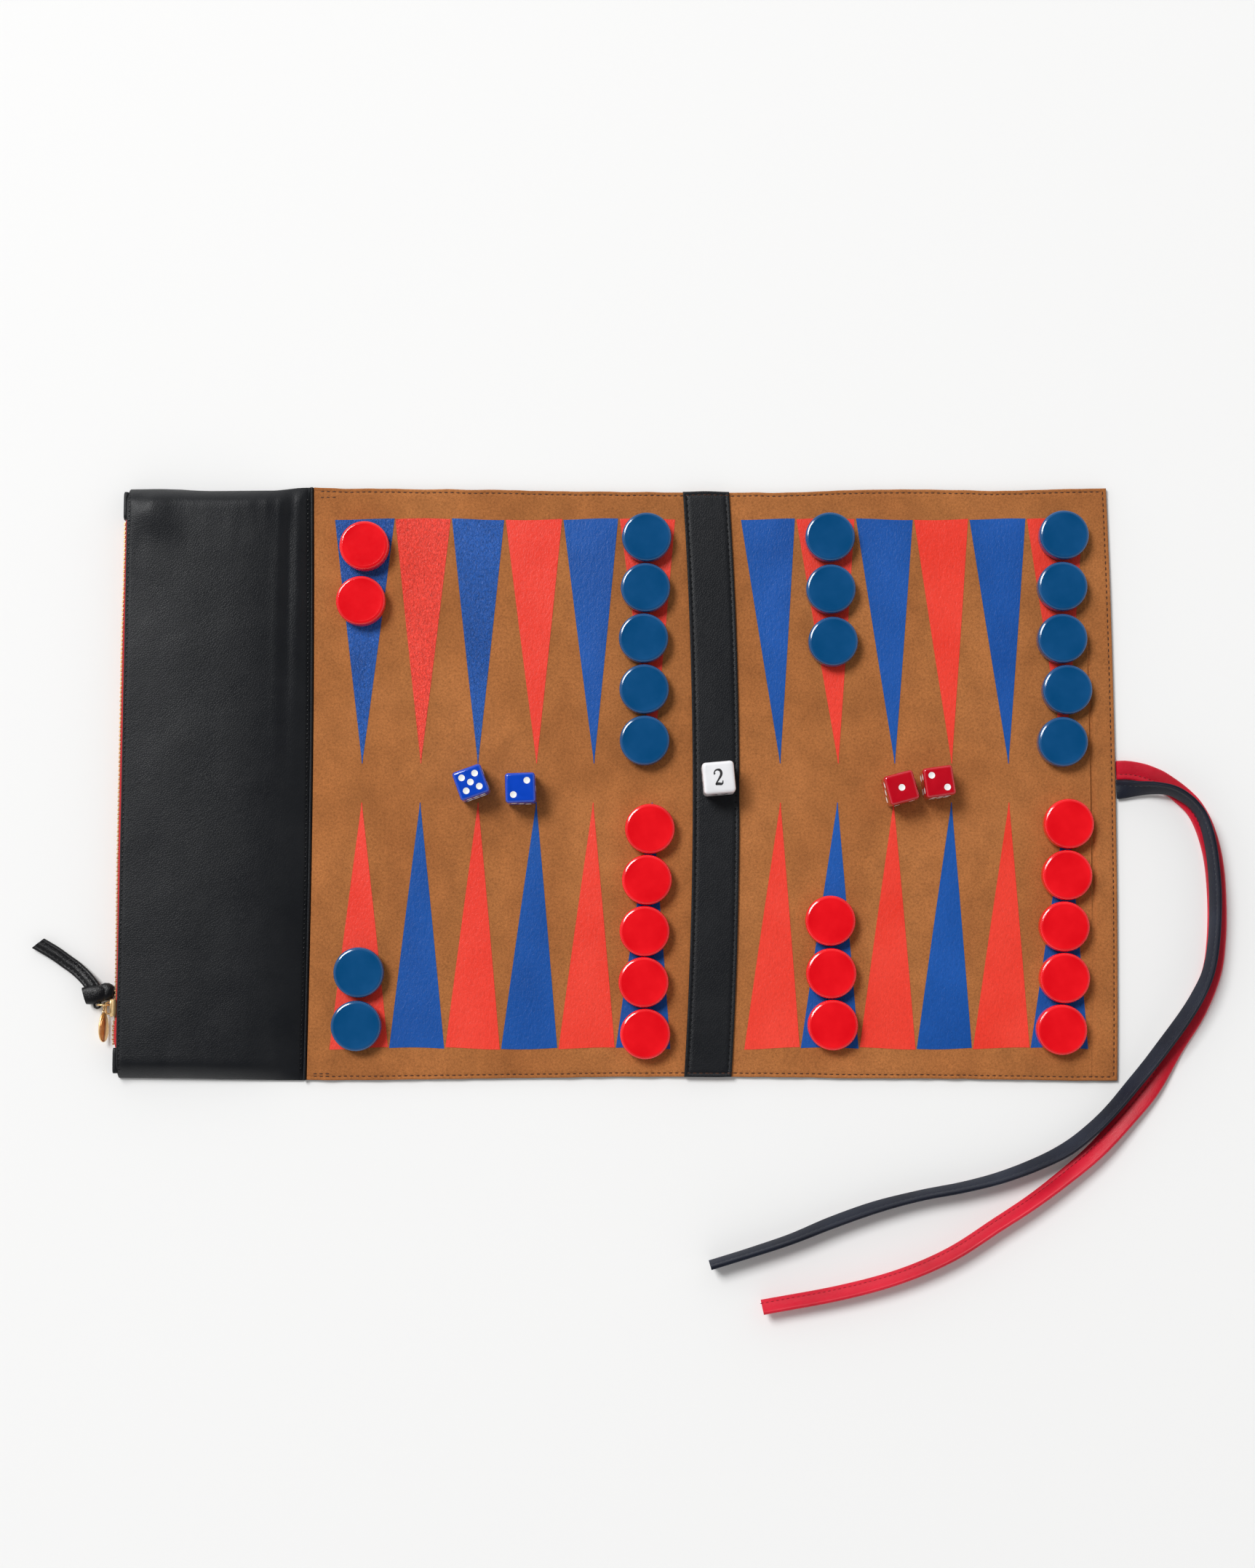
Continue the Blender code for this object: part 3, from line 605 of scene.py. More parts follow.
def tie(name, route, node, material, thread, side, seed, lean=0.0):
    frames = lean_inward(strap_frames(route, TIE_STEPS), lean)
    section = folded_section(TIE_WIDTH, TIE_THICK)
    shape = Shape()
    rings = []
    for i, (at, across, up, _) in enumerate(frames):
        swell = 1.0 + 0.03 * noise.noise(Vector((i * 0.11, seed, 0.0)))
        rings.append([at + across * (side * s * swell) + up * t * swell for s, t in section])
    shape.tube(rings)
    piece = shape.make(name, material, "board_right", 50.0)
    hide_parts(node)
    seam = Shape()
    pitch, *size = TIE_STITCH
    lengths = [(b[0] - a[0]).length for a, b in zip(frames, frames[1:])]
    for i, share in evenly(lengths, pitch, TIE_FIRST_STITCH):
        a, across, up, ahead = frames[i]
        at = a.lerp(frames[i + 1][0], share)
        at = at + across * (side * TIE_WIDTH * 0.5 * TIE_SEAM_ACROSS) + up * (TIE_THICK * TIE_SEAM_UP)
        seam.stitch(at, ahead, *size, up)
    stitches = seam.make(name + "_stitches", thread, "board_right")
    path = [tuple(f[0]) for f in frames]
    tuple(path[0])
    length_of(path)


tie("tie_navy", NAVY_ROUTE, "tie_strap_navy", NAVY, NAVY_THREAD, 1.0, 8.0, NAVY_LEAN)
tie("tie_red", RED_ROUTE, "tie_strap_red", RED, DARK_RED_THREAD, -1.0, 3.0)


# ---------------------------------------------------------------- mat

def outline_at(x):
    """The plain near and far edges."""
    return lerp_table(BOTTOM_EDGE, x), lerp_table(TOP_EDGE, x)


def mat_edges(x):
    """The mat's near and far edges with their small waves."""
    low, high = outline_at(x)
    return low + 0.00025 * wobble(x, 0.0, 0.011, 3), high + 0.00035 * wobble(x, 0.0, 0.013, 5)


def mat_place(x, v):
    """Point of the mat at unbowed x and v from -1 (near edge) to 1 (far edge)."""
    px = x + bow_at(x) * (1 - v * v)
    low, high = mat_edges(px)
    return px, low + (high - low) * (v + 1) / 2


def edge_gap(x, y):
    """Distance to the near or far edge of the mat."""
    low, high = mat_edges(x)
    return min(y - low, high - y)


def rounded(distance, radius):
    """Drop of a surface at a distance from its edge, for a rounded edge."""
    if distance >= radius:
        return 0.0
    return radius - math.sqrt(max(0.0, radius ** 2 - (radius - max(0.0, distance)) ** 2))


def hump(off, width):
    """Bell curve, 1 at the middle."""
    return math.exp(-(off / width) ** 2)


def groove(distance):
    """Dip that a row of stitches pulls into the leather."""
    return 0.00030 * hump(distance - STITCH_INSET, 0.0005)


def right_edge_gap(x, y):
    v = max(-1.0, min(1.0, y / HALF_DEPTH))
    return MAT_RIGHT_X + RIGHT_BOW * (1 - v * v) - x


CRUMPLE_X = 0.2580
CRUMPLE_BOW = 0.00208
CRUMPLE_STEP = 0.00045
CRUMPLE_DROP = 0.00084
CRUMPLE_RIDGE = 0.00040


def crumple(x, y):
    """Fold beside the right column of men: a sharp step down, then a soft ridge and cross wrinkles."""
    off = x - CRUMPLE_X - CRUMPLE_BOW * (1 - (y / HALF_DEPTH) ** 2)
    if off < 0:
        step = CRUMPLE_STEP * math.exp(off / 0.0012)
    else:
        fall = smoothstep(0.0, 0.0003, off)
        step = CRUMPLE_STEP * (1 - fall) - CRUMPLE_DROP * fall * math.exp(-max(0.0, off - 0.0011) / 0.0009)
    ridge = CRUMPLE_RIDGE * hump(off - 0.0034, 0.0020)
    waves = math.sin(y * 370.0 + 2.0 * wobble(x, y, 0.03, 14))
    cross = CRUMPLE_RIDGE * waves * hump(off - 0.0050, 0.0028)
    strength = 0.15 + 0.85 * smoothstep(-0.080, -0.045, y) * (1 - smoothstep(0.050, 0.085, y))
    return strength * (step + ridge + cross)


def lie(x, y):
    """How the mat's surface rises and falls."""
    gap = edge_gap(x, y)
    broad = 0.00016 * wobble(x, y, 0.055, 1) + 0.00010 * wobble(x, y, 0.021, 2)
    pucker = 0.00065 * math.exp(-gap / 0.010) * wobble(x + 0.35 * y, y * 0.3, 0.0080, 4)
    return broad + pucker + crumple(x, y)


def suede_top(x, y):
    gap = min(edge_gap(x, y), right_edge_gap(x, y))
    return SUEDE_TOP + lie(x, y) - rounded(gap, 0.0007) - groove(gap)


def panel_lines(x0, x1, step, low_edge, high_edge, fold, fine=EDGE_STATIONS):
    """Grid lines of a layer, close together across its fold."""
    start, end = fold[2] - 0.0052, fold[3] + 0.0004
    lines = [start + (end - start) * i / 14 for i in range(15)]
    xs = [x0 + d for d in stations(x1 - x0, step, low_edge, high_edge, fine)]
    return sorted([x for x in xs if not lines[0] - 0.0003 < x < lines[-1] + 0.0003 or x == x1]
                  + [x for x in lines if x0 < x < x1])


def grid_rows(step, fine=EDGE_STATIONS):
    """Grid rows from -1 (near edge) to 1 (far edge)."""
    return [2 * d / DEPTH - 1 for d in stations(DEPTH, step, fine=fine)]


def mat_panels():
    rows = grid_rows(SUEDE_STEP)
    for name, x0, x1, high_edge, fold, nodes in (
        ("suede_left", SEAM_X + 0.0002, BAR_MIDDLE_X, False, FOLD_LEFT, ["board_left_suede"]),
        ("suede_right", BAR_MIDDLE_X, MAT_RIGHT_X, True, FOLD_RIGHT, ["bar_suede", "board_right_suede"]),
    ):
        xs = panel_lines(x0, x1, SUEDE_STEP, False, high_edge, fold)
        if name == "suede_right":
            close = [CRUMPLE_X + 0.00015 * i for i in range(-8, 14)]
            close += [CRUMPLE_X + 0.0023 + 0.0005 * i for i in range(17)]
            xs = sorted([x for x in xs if not CRUMPLE_X - 0.0015 < x < CRUMPLE_X + 0.0106] + close)
        piece = slab(name, xs, rows, mat_place, suede_top, lambda x, y: BACKING_TOP + 0.0001, SUEDE)
        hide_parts(*nodes)
        bend(piece, fold)

    def gap(x, y):
        return min(edge_gap(x, y), right_edge_gap(x, y), x - POUCH_LEFT_X)

    rows = grid_rows(0.009, COARSE_STATIONS)
    for name, x0, x1, low_edge, high_edge, fold, nodes in (
        ("backing_end", POUCH_LEFT_X, BACKING_SPLIT_X, True, False, FOLD_POUCH, ["pouch_back_panel"]),
        ("backing_left", BACKING_SPLIT_X, BAR_MIDDLE_X, False, False, FOLD_LEFT, ["board_left_backing"]),
        ("backing_right", BAR_MIDDLE_X, MAT_RIGHT_X, False, True, FOLD_RIGHT,
         ["bar_backing", "board_right_backing"]),
    ):
        xs = panel_lines(x0, x1, BACKING_STEP, low_edge, high_edge, fold, COARSE_STATIONS)
        piece = slab(name, xs, rows, mat_place, lambda x, y: BACKING_TOP - rounded(gap(x, y), 0.0003),
                     lambda x, y: rounded(gap(x, y), 0.0005), BACKING)
        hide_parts(*nodes)
        bend(piece, fold)


STRIP_INSET = 0.0003


def strip_gap(x, y):
    """Distance to the bar strip's long edges, negative outside it."""
    v = max(-1.0, min(1.0, y / HALF_DEPTH))
    shift = BAR_BOW * (1 - v * v)
    return min(x - (BAR_LEFT_X + STRIP_INSET + shift), (BAR_RIGHT_X - STRIP_INSET + shift) - x)


def strip_top(x, y):
    gap = strip_gap(x, y)
    end = edge_gap(x, y)
    crown = 0.00005 * math.sin(math.pi * smoothstep(0.0, 0.024, gap))
    return (STRIP_TOP + crown + 0.00012 * wobble(x, y, 0.03, 6) - rounded(min(gap, end), 0.0003)
            - 0.9 * groove(min(gap, end)))


def bar_strip():
    rows = grid_rows(SUEDE_STEP)
    for name, x0, x1, low_edge, fold in (
        ("bar_strip_left", BAR_LEFT_X + STRIP_INSET, BAR_MIDDLE_X, True, FOLD_LEFT),
        ("bar_strip_right", BAR_MIDDLE_X, BAR_RIGHT_X - STRIP_INSET, False, FOLD_RIGHT),
    ):
        xs = [x0 + d for d in stations(x1 - x0, 0.0011, low_edge, not low_edge)]
        piece = slab(name, xs, rows, mat_place, strip_top, lambda x, y: SUEDE_TOP - 0.0002, BLACK)
        if low_edge:
            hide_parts("bar_leather_strip")
        bend(piece, fold)


def surface(x, y):
    return strip_top(x, y) if strip_gap(x, y) > 0 else suede_top(x, y)


def sew(shape, points, stitch, ground, sink=0.00002):
    """Stitches along a line of (x, y) points, lying on the ground function."""
    pitch, *size = stitch
    steps = [(bx - ax, by - ay) for (ax, ay), (bx, by) in zip(points, points[1:])]
    for i, t in evenly([math.hypot(*step) for step in steps], pitch, pitch * 0.5):
        dx, dy = steps[i]
        x, y = points[i][0] + dx * t, points[i][1] + dy * t
        shape.stitch(Vector((x, y, ground(x, y) - sink)), Vector((dx, dy, 0.0)), *size)


def mat_stitches():
    steps = 60
    edge_v = 1 - 2 * STITCH_INSET / DEPTH

    def row(x0, x1, far):
        v = edge_v if far else -edge_v
        return [mat_place(x0 + (x1 - x0) * i / steps, v) for i in range(steps + 1)]

    def column(x, v, height):
        return [mat_place(x, v + height * i / steps) for i in range(steps + 1)]

    left, right = Shape(), Shape()
    start, end = SEAM_X + 0.003, MAT_RIGHT_X - STITCH_INSET
    for far in (False, True):
        sew(left, row(start, BAR_MIDDLE_X, far), MAT_STITCH, surface)
        sew(right, row(BAR_MIDDLE_X, end, far), MAT_STITCH, surface)
    sew(right, column(end, -0.987, 1.974), MAT_STITCH, surface)
    for y in (0.1465, -0.1452):
        sew(left, [(start, y), (SEAM_X + 0.013, y)], TACK_STITCH, surface)
    bar_left, bar_right = Shape(), Shape()
    sew(bar_left, column(BAR_LEFT_X + STRIP_INSET + STITCH_INSET, -0.975, 1.95), BAR_STITCH, strip_top)
    sew(bar_right, column(BAR_RIGHT_X - STRIP_INSET - STITCH_INSET, -0.975, 1.95), BAR_STITCH, strip_top)
    for name, shape, thread, fold in (
        ("mat_stitches_left", left, BROWN_THREAD, FOLD_LEFT),
        ("mat_stitches_right", right, BROWN_THREAD, FOLD_RIGHT),
        ("bar_stitches_left", bar_left, BLACK_THREAD, FOLD_LEFT),
        ("bar_stitches_right", bar_right, BLACK_THREAD, FOLD_RIGHT),
    ):
        bend(shape.make(name, thread), fold)


# Points: (base left, base right, tip) in millimetres, far row then near row
FAR_LEFT = [(-121.9, -91.6, -106.8), (-91.2, -63.0, -77.2), (-62.4, -35.8, -48.4), (-35.0, -6.3, -18.8),
            (-5.6, 22.2, 10.1), (23.1, 51.2, 39.9)]
FAR_RIGHT = [(84.8, 112.2, 104.0), (113.0, 142.6, 133.3), (143.4, 172.2, 161.8), (173.0, 200.4, 190.5),
             (201.2, 229.6, 219.1), (230.4, 258.8, 247.6)]
NEAR_LEFT = [(-121.6, -92.4, -106.8), (-91.8, -64.4, -77.4), (-63.8, -36.7, -48.2), (-36.0, -8.1, -18.9),
             (-7.4, 20.6, 9.7), (21.2, 48.3, 39.4)]
NEAR_RIGHT = [(85.2, 112.8, 104.0), (113.4, 142.2, 132.7), (142.8, 170.6, 161.0), (171.2, 198.6, 190.1),
              (199.2, 227.4, 219.1), (228.0, 256.6, 248.2)]
FAR_BASE_Y, FAR_TIP_Y = 0.1352, 0.0102
NEAR_BASE_Y, NEAR_TIP_Y = -0.1326, -0.0096
POINT_LIFT, POINT_SINK = 0.00014, -0.00008


def mat_points():
    rows, columns = 34, 8
    shapes = {}
    for board, table, base_y, tip_y, near in (
        ("left", FAR_LEFT, FAR_BASE_Y, FAR_TIP_Y, 0), ("left", NEAR_LEFT, NEAR_BASE_Y, NEAR_TIP_Y, 1),
        ("right", FAR_RIGHT, FAR_BASE_Y, FAR_TIP_Y, 0), ("right", NEAR_RIGHT, NEAR_BASE_Y, NEAR_TIP_Y, 1),
    ):
        for index, (x0, x1, tip) in enumerate(table):
            colour = "red" if (index + near) % 2 else "blue"
            # The far left points get deeper wrinkles and stronger painted crease shade and highlights
            creased = "_creased" if board == "left" and not near and index < 3 else ""
            shape = shapes.setdefault((board, colour, creased), Shape())
            verts = []
            lean = 0.0007 * wobble(index * 0.3, near, 0.4, 9)
            for lift in (POINT_LIFT, POINT_SINK):
                for j in range(rows + 1):
                    t = j / rows
                    narrow = (1 - t) + 0.012 * math.sin(math.pi * t)
                    centre = (x0 + x1) / 2 * (1 - t) + tip * t
                    for i in range(columns + 1):
                        s = i / columns - 0.5
                        x = (centre + (x1 - x0) * s * max(narrow, 0.012)) * MM
                        base = base_y + (0.0005 * math.sin(3.1 * s + index * 1.7) + lean * s) * (1 - t)
                        y = base + (tip_y - base) * t
                        verts.append((x, y, suede_top(x, y) + lift))
            shape.add(verts, sheet_faces(columns + 1, rows + 1))
    for (board, colour, creased), shape in shapes.items():
        shape.make(f"points_{board}_{colour}{creased}", POINTS[colour + creased], f"board_{board}", 30.0)


mat_panels()
bar_strip()
mat_stitches()
mat_points()


# ---------------------------------------------------------------- men

MAN_HEIGHT = 7.0


def man_mesh():
    """Turned disc: rounded side, narrow raised rim and a flat face on both sides."""
    # Profile from the axis outwards: (radius, height) in millimetres
    top = [(0.0, 6.90), (5.0, 6.90), (9.0, 6.905), (10.3, 6.92), (10.7, 6.95), (11.05, 7.0), (11.13, 6.975),
           (11.42, 6.88)]
    for k in range(1, 10):
        a = math.pi / 2 * k / 9
        top.append((11.3 + 1.2 * math.sin(a), 5.55 + 1.32 * math.cos(a)))
    top.append((12.5, 4.6))
    profile = top + [(r, MAN_HEIGHT - z) for r, z in reversed(top)]
    sides = 72
    rings = [[(r * MM * c, r * MM * s, z * MM) for c, s in circle(sides)] for r, z in profile[1:-1]]
    verts = [(0, 0, profile[0][1] * MM)] + [v for ring in rings for v in ring] + [(0, 0, profile[-1][1] * MM)]
    faces = []
    last = 1 + (len(rings) - 1) * sides
    for k in range(sides):
        m = (k + 1) % sides
        faces += [(0, 1 + k, 1 + m), (len(verts) - 1, last + m, last + k)]
        for a in range(1, last, sides):
            faces.append((a + k, a + sides + k, a + sides + m, a + m))
    return verts, faces


def middle_of(node):
    """Middle of a CAD node's box, and its height."""
    low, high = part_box(node)
    return Vector([(a + b) / 2 for a, b in zip(low, high)]), high[2] - low[2]


def men():
    shape = man_mesh()
    turn = random.Random(7)
    for colour, material in (("red", MEN_RED), ("blue", MEN_BLUE)):
        shared = None
        for index in range(1, 16):
            node = f"man_{colour}_{index:02d}"
            name = f"{colour}_man_{index:02d}"
            if shared is None:
                piece = add_mesh(name, *shape, material, angle=60.0)
                shared = piece.data
            else:
                piece = put_in_scene(name, shared)
            low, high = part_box(node)
            piece.location = ((low[0] + high[0]) / 2, (low[1] + high[1]) / 2, low[2])
            piece.rotation_euler = (0, 0, turn.uniform(0, 6.28))
            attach(piece, node)
            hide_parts(node)


men()


# ---------------------------------------------------------------- dice

PIPS = {
    1: [(0, 0)], 2: [(1, 1), (-1, -1)], 3: [(-1, 1), (0, 0), (1, -1)],
    4: [(1, 1), (-1, 1), (1, -1), (-1, -1)], 5: [(1, 1), (-1, 1), (1, -1), (-1, -1), (0, 0)],
    6: [(1, 1), (0, 1), (-1, 1), (1, -1), (0, -1), (-1, -1)],
}
# Side directions: normal, then the two in-plane directions that pips count along
SIDES = {
    "top": (UP, Vector((1, 0, 0)), Vector((0, 1, 0))),
    "bottom": (Vector((0, 0, -1)), Vector((-1, 0, 0)), Vector((0, 1, 0))),
    "front": (Vector((0, -1, 0)), Vector((1, 0, 0)), UP),
    "back": (Vector((0, 1, 0)), Vector((-1, 0, 0)), UP),
    "right": (Vector((1, 0, 0)), Vector((0, 1, 0)), UP),
    "left": (Vector((-1, 0, 0)), Vector((0, -1, 0)), UP),
}


def rounded_cube(edge, radius):
    """Cube with its edges rounded, as a bmesh."""
    work = bmesh.new()
    bmesh.ops.create_cube(work, size=edge)
    bmesh.ops.bevel(work, geom=list(work.edges), offset=radius, segments=5, affect="EDGES", profile=0.5)
    return work


def cut_pips(piece, edge, numbers, pips):
    """Cuts shallow round hollows into a die and gives them the pip material."""
    work = bmesh.new()
    sphere = PIP_RADIUS * 3.2
    depth = math.sqrt(sphere ** 2 - PIP_RADIUS ** 2)
    for number, (normal, right, up) in zip(numbers, SIDES.values()):
        for a, b in pips[number]:
            centre = normal * (edge / 2 + depth) + right * (a * PIP_SPACING) + up * (b * PIP_SPACING)
            place = Matrix.Translation(centre) @ UP.rotation_difference(-normal).to_matrix().to_4x4()
            bmesh.ops.create_uvsphere(work, u_segments=32, v_segments=48, radius=sphere, matrix=place)
    tool = object_from("pip_tool", work, [PIP], 35.0)
    tool.matrix_world = piece.matrix_world
    modifier = piece.modifiers.new("pips", "BOOLEAN")
    modifier.operation = "DIFFERENCE"
    modifier.solver = "EXACT"
    modifier.material_mode = "TRANSFER"
    modifier.object = tool
    bpy.context.view_layer.update()
    cut = bpy.data.meshes.new_from_object(piece.evaluated_get(bpy.context.evaluated_depsgraph_get()))
    piece.modifiers.clear()
    piece.data = cut
    bpy.data.objects.remove(tool, do_unlink=True)
    soften(piece.data, 28.0)


PIP_SPACING = 0.00345
PIP_RADIUS = 0.00165
DIE_ROUNDING = 0.0016
# Node, turn in degrees, material, pips on the sides in the order of SIDES, how the pips of a 2 lie
DICE = [
    ("die_blue_1", 20.0, DICE_BLUE, (5, 2, 6, 1, 4, 3), PIPS[2]),
    ("die_blue_2", 2.0, DICE_BLUE, (2, 5, 3, 4, 1, 6), PIPS[2]),
    ("die_red_1", 15.0, DICE_RED, (1, 6, 2, 5, 4, 3), PIPS[2]),
    ("die_red_2", 8.0, DICE_RED, (2, 5, 6, 1, 3, 4), [(-1, 1), (1, -1)]),
]


def dice():
    for node, angle, material, numbers, two in DICE:
        centre, edge = middle_of(node)
        name = node.replace("die", "dice")
        piece = object_from(name, rounded_cube(edge, DIE_ROUNDING), [material, PIP], 35.0)
        piece.location = centre
        piece.rotation_euler = (0, 0, math.radians(angle))
        bpy.context.view_layer.update()
        cut_pips(piece, edge, numbers, {**PIPS, 2: two})
        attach(piece, node)
        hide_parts(node)


dice()

# Numbers of the doubling cube as brush strokes: (x, y, half width) in thousandths
DIGITS = {
    "1": [
        [(250, 800, 30), (420, 900, 50), (500, 980, 70), (500, 50, 70)],
        [(280, 30, 35), (720, 30, 35)],
    ],
    "2": [
        [(200, 700, 75), (160, 800, 45), (270, 940, 40), (460, 980, 50), (660, 930, 75), (750, 780, 90),
         (700, 600, 80), (500, 380, 55), (300, 180, 40), (190, 50, 35)],
        [(190, 70, 55), (450, 90, 75), (680, 60, 65), (800, 120, 45), (840, 280, 35)],
    ],
    "3": [
        [(200, 800, 70), (300, 950, 40), (520, 970, 60), (720, 820, 80), (640, 600, 60), (420, 530, 40),
         (660, 460, 60), (800, 260, 85), (620, 50, 60), (340, 30, 40), (180, 200, 70)],
    ],
    "4": [
        [(640, 980, 50), (380, 620, 35), (120, 280, 35), (880, 280, 40)],
        [(640, 980, 70), (640, 30, 75)],
    ],
    "6": [
        [(760, 860, 60), (600, 980, 40), (360, 840, 60), (220, 500, 80), (260, 180, 75), (500, 30, 50),
         (740, 140, 70), (800, 340, 80), (680, 530, 50), (460, 560, 40), (280, 420, 50)],
    ],
    "8": [
        [(500, 540, 50), (280, 700, 70), (340, 920, 50), (520, 980, 40), (720, 880, 60), (680, 660, 60),
         (460, 520, 60), (220, 340, 80), (260, 100, 60), (520, 20, 45), (780, 140, 70), (760, 380, 70),
         (500, 540, 50)],
    ],
}
BRUSH = 1.22
CUBE_ROUNDING = 0.0019
CUBE_TURN = math.radians(5.0)
CUBE_TEXT = {"top": "2", "front": "32", "left": "16", "right": "4", "back": "8", "bottom": "64"}


def write(shape, text, edge, side, size, base):
    """Draws a number as thin raised strokes on one side of the cube."""
    normal, right, up = SIDES[side]
    step = size * 0.78
    start = -0.5 * step * len(text)
    for index, letter in enumerate(text):
        for stroke in DIGITS[letter]:
            line = smooth_path([[n / 1000 for n in point] for point in stroke], 6)
            last = len(line) - 1
            rings = []
            for i, (x, y, w) in enumerate(line):
                nx = line[min(i + 1, last)][0] - line[max(i - 1, 0)][0]
                ny = line[min(i + 1, last)][1] - line[max(i - 1, 0)][1]
                reach = math.hypot(nx, ny) or 1.0
                cap = 0.55 if i in (0, last) else 1.0
                ox, oy = -ny / reach * w * cap * BRUSH, nx / reach * w * cap * BRUSH
                ring = []
                for turn, lift in ((1, 0.00004), (-1, 0.00004), (-1, -0.0001), (1, -0.0001)):
                    flat_x = start + step * index + (x + turn * ox) * step * 0.95
                    flat_y = (y + turn * oy - 0.5) * size
                    ring.append(base @ (normal * (edge / 2 + lift) + right * flat_x + up * flat_y))
                rings.append(ring)
            shape.tube(rings)


def doubling_cube():
    centre, edge = middle_of("doubling_cube")
    piece = object_from("doubling_cube_body", rounded_cube(edge, CUBE_ROUNDING), [WHITE], 35.0)
    place = Matrix.Translation(centre) @ Matrix.Rotation(CUBE_TURN, 4, "Z")
    piece.matrix_world = place
    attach(piece, "doubling_cube")
    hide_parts("doubling_cube")
    numbers = Shape()
    for side, text in CUBE_TEXT.items():
        write(numbers, text, edge, side, 0.0079 if len(text) == 1 else 0.0064, place)
    numbers.make("doubling_cube_numbers", INK, "doubling_cube")


doubling_cube()


# ---------------------------------------------------------------- pouch

POUCH_RIGHT_X = -0.1350
POUCH_RIM_Z = 0.0014
POUCH_LEATHER = 0.0012
POUCH_TURN = 0.0085
ZIP_SEAM_INSET = 0.0014
WELT_SEAM_INSET = 0.0011
WELT_X = -0.1340
WELT_Z = 0.00225


def pouch_rise(share):
    crown = 8.3 + 0.3 * math.sin(math.pi * min(1.0, share * 2))
    return crown * math.cos(0.5 * math.pi * share ** 2.2) ** 0.8 * MM


def pouch_point(s, v, drop):
    """Point of the pouch's top leather: s from zip to seam, v from near to far, drop below the outside."""
    x = POUCH_LEFT_X + (POUCH_RIGHT_X - drop - POUCH_LEFT_X) * s
    low, high = outline_at(x)
    low, high = low + drop, high - drop
    y = low + (high - low) * (v + 1) / 2
    x += SEAM_BOW * s * s * (1 - v * v)
    end = min(y - low, high - y)
    height = math.sin(0.5 * math.pi * min(1.0, end / POUCH_TURN)) ** 0.75 if end > 0 else 0.0
    z = POUCH_RIM_Z + max(0.0, pouch_rise(s) - drop) * height
    # Loose leather
    z += (0.00030 * wobble(x, y, 0.035, 11)
          + 0.00035 * math.exp(-end / 0.022) * wobble(x * 2.2, y * 0.6, 0.012, 12)
          + 0.00010 * wobble(x, y, 0.014, 13)) * height
    # Crease along the seam side
    crease = x - (-0.1455 + 0.003 * y)
    z -= (0.0009 * hump(crease, 0.0026) - 0.0005 * hump(crease + 0.0045, 0.0026)
          - 0.0005 * hump(crease - 0.0045, 0.0026)) * smoothstep(-0.02, 0.12, y) * height
    # Swell across the far left corner
    down_right, across = (x + 0.2150) + (high - 0.0125 - y), (x + 0.2150) - (high - 0.0125 - y)
    slope = 0.0085 if down_right < 0 else 0.020
    z += 0.0022 * math.exp(-(down_right / slope) ** 2 - (across / 0.013) ** 2) * height
    # Wrinkles at both ends
    z += math.exp(-(high - y) / 0.016) * height * (
        0.0010 * smoothstep(-0.178, -0.160, x) * wobble(x * 2.4, y * 0.5, 0.011, 15)
        + 0.0006 * (1 - smoothstep(-0.222, -0.205, x)) * wobble(x, y * 1.3, 0.009, 16))
    z += (0.0005 * math.exp(-(y - low) / 0.016) * smoothstep(-0.152, -0.143, x)
          * wobble(x * 2.0, y, 0.008, 17) * height)
    if drop == 0:
        for line in (x - POUCH_LEFT_X - ZIP_SEAM_INSET,
                     POUCH_RIGHT_X + SEAM_BOW * (1 - v * v) - x - WELT_SEAM_INSET):
            z -= 0.00038 * hump(line, 0.0006) * height
        z -= rounded(x - POUCH_LEFT_X, 0.0009)
    return Vector((x, y, z))


def pouch_top():
    width = POUCH_RIGHT_X - POUCH_LEFT_X
    fine = [0.0, 0.00015, 0.0004, 0.0008, 0.0014, 0.0019, 0.0024, 0.0029, 0.0036, 0.0050]
    us = [d / width for d in stations(width, 0.0022, fine=fine)]
    ends = [0.0, 0.0002, 0.0005, 0.001, 0.0017, 0.0025, 0.0035, 0.0045, 0.0056, 0.0068, POUCH_TURN]
    vs = grid_rows(0.0026, ends)
    verts = [tuple(pouch_point(u, v, drop)) for drop in (0.0, POUCH_LEATHER) for v in vs for u in us]
    piece = add_mesh("pouch_leather_top", verts, sheet_faces(len(us), len(vs)), BLACK, "pouch", 50.0)
    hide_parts("pouch_top_panel")

    def ground(x, y):
        low, high = outline_at(x)
        v = 2 * (y - low) / (high - low) - 1
        s = (x - POUCH_LEFT_X) / width
        for _ in range(3):
            s = (x - SEAM_BOW * s * s * (1 - v * v) - POUCH_LEFT_X) / width
        return pouch_point(s, v, 0.0).z

    seams = Shape()
    steps = 60
    for x, bow in ((POUCH_LEFT_X + ZIP_SEAM_INSET, 0.0), (POUCH_RIGHT_X - WELT_SEAM_INSET, SEAM_BOW)):
        ys = [-0.1440 + 0.2905 * i / steps for i in range(steps + 1)]
        sew(seams, [(x + bow * (1 - (y / HALF_DEPTH) ** 2), y) for y in ys], POUCH_STITCH, ground)
    seams.make("pouch_stitches", BLACK_THREAD, "pouch")

    welt = Shape()
    rings = []
    low, high = outline_at(SEAM_X)
    for i in range(steps + 1):
        t = i / steps
        x = WELT_X + SEAM_BOW * (1 - (2 * t - 1) ** 2)
        y = low + (high - low) * t
        rings.append([(x + 0.00075 * c, y, WELT_Z + 0.00095 * s) for c, s in circle(10)])
    welt.tube(rings)
    piece = welt.make("pouch_welt", BLACK, "pouch", 60.0)
    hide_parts("pouch_seam_welt")


pouch_top()


# ---------------------------------------------------------------- zip

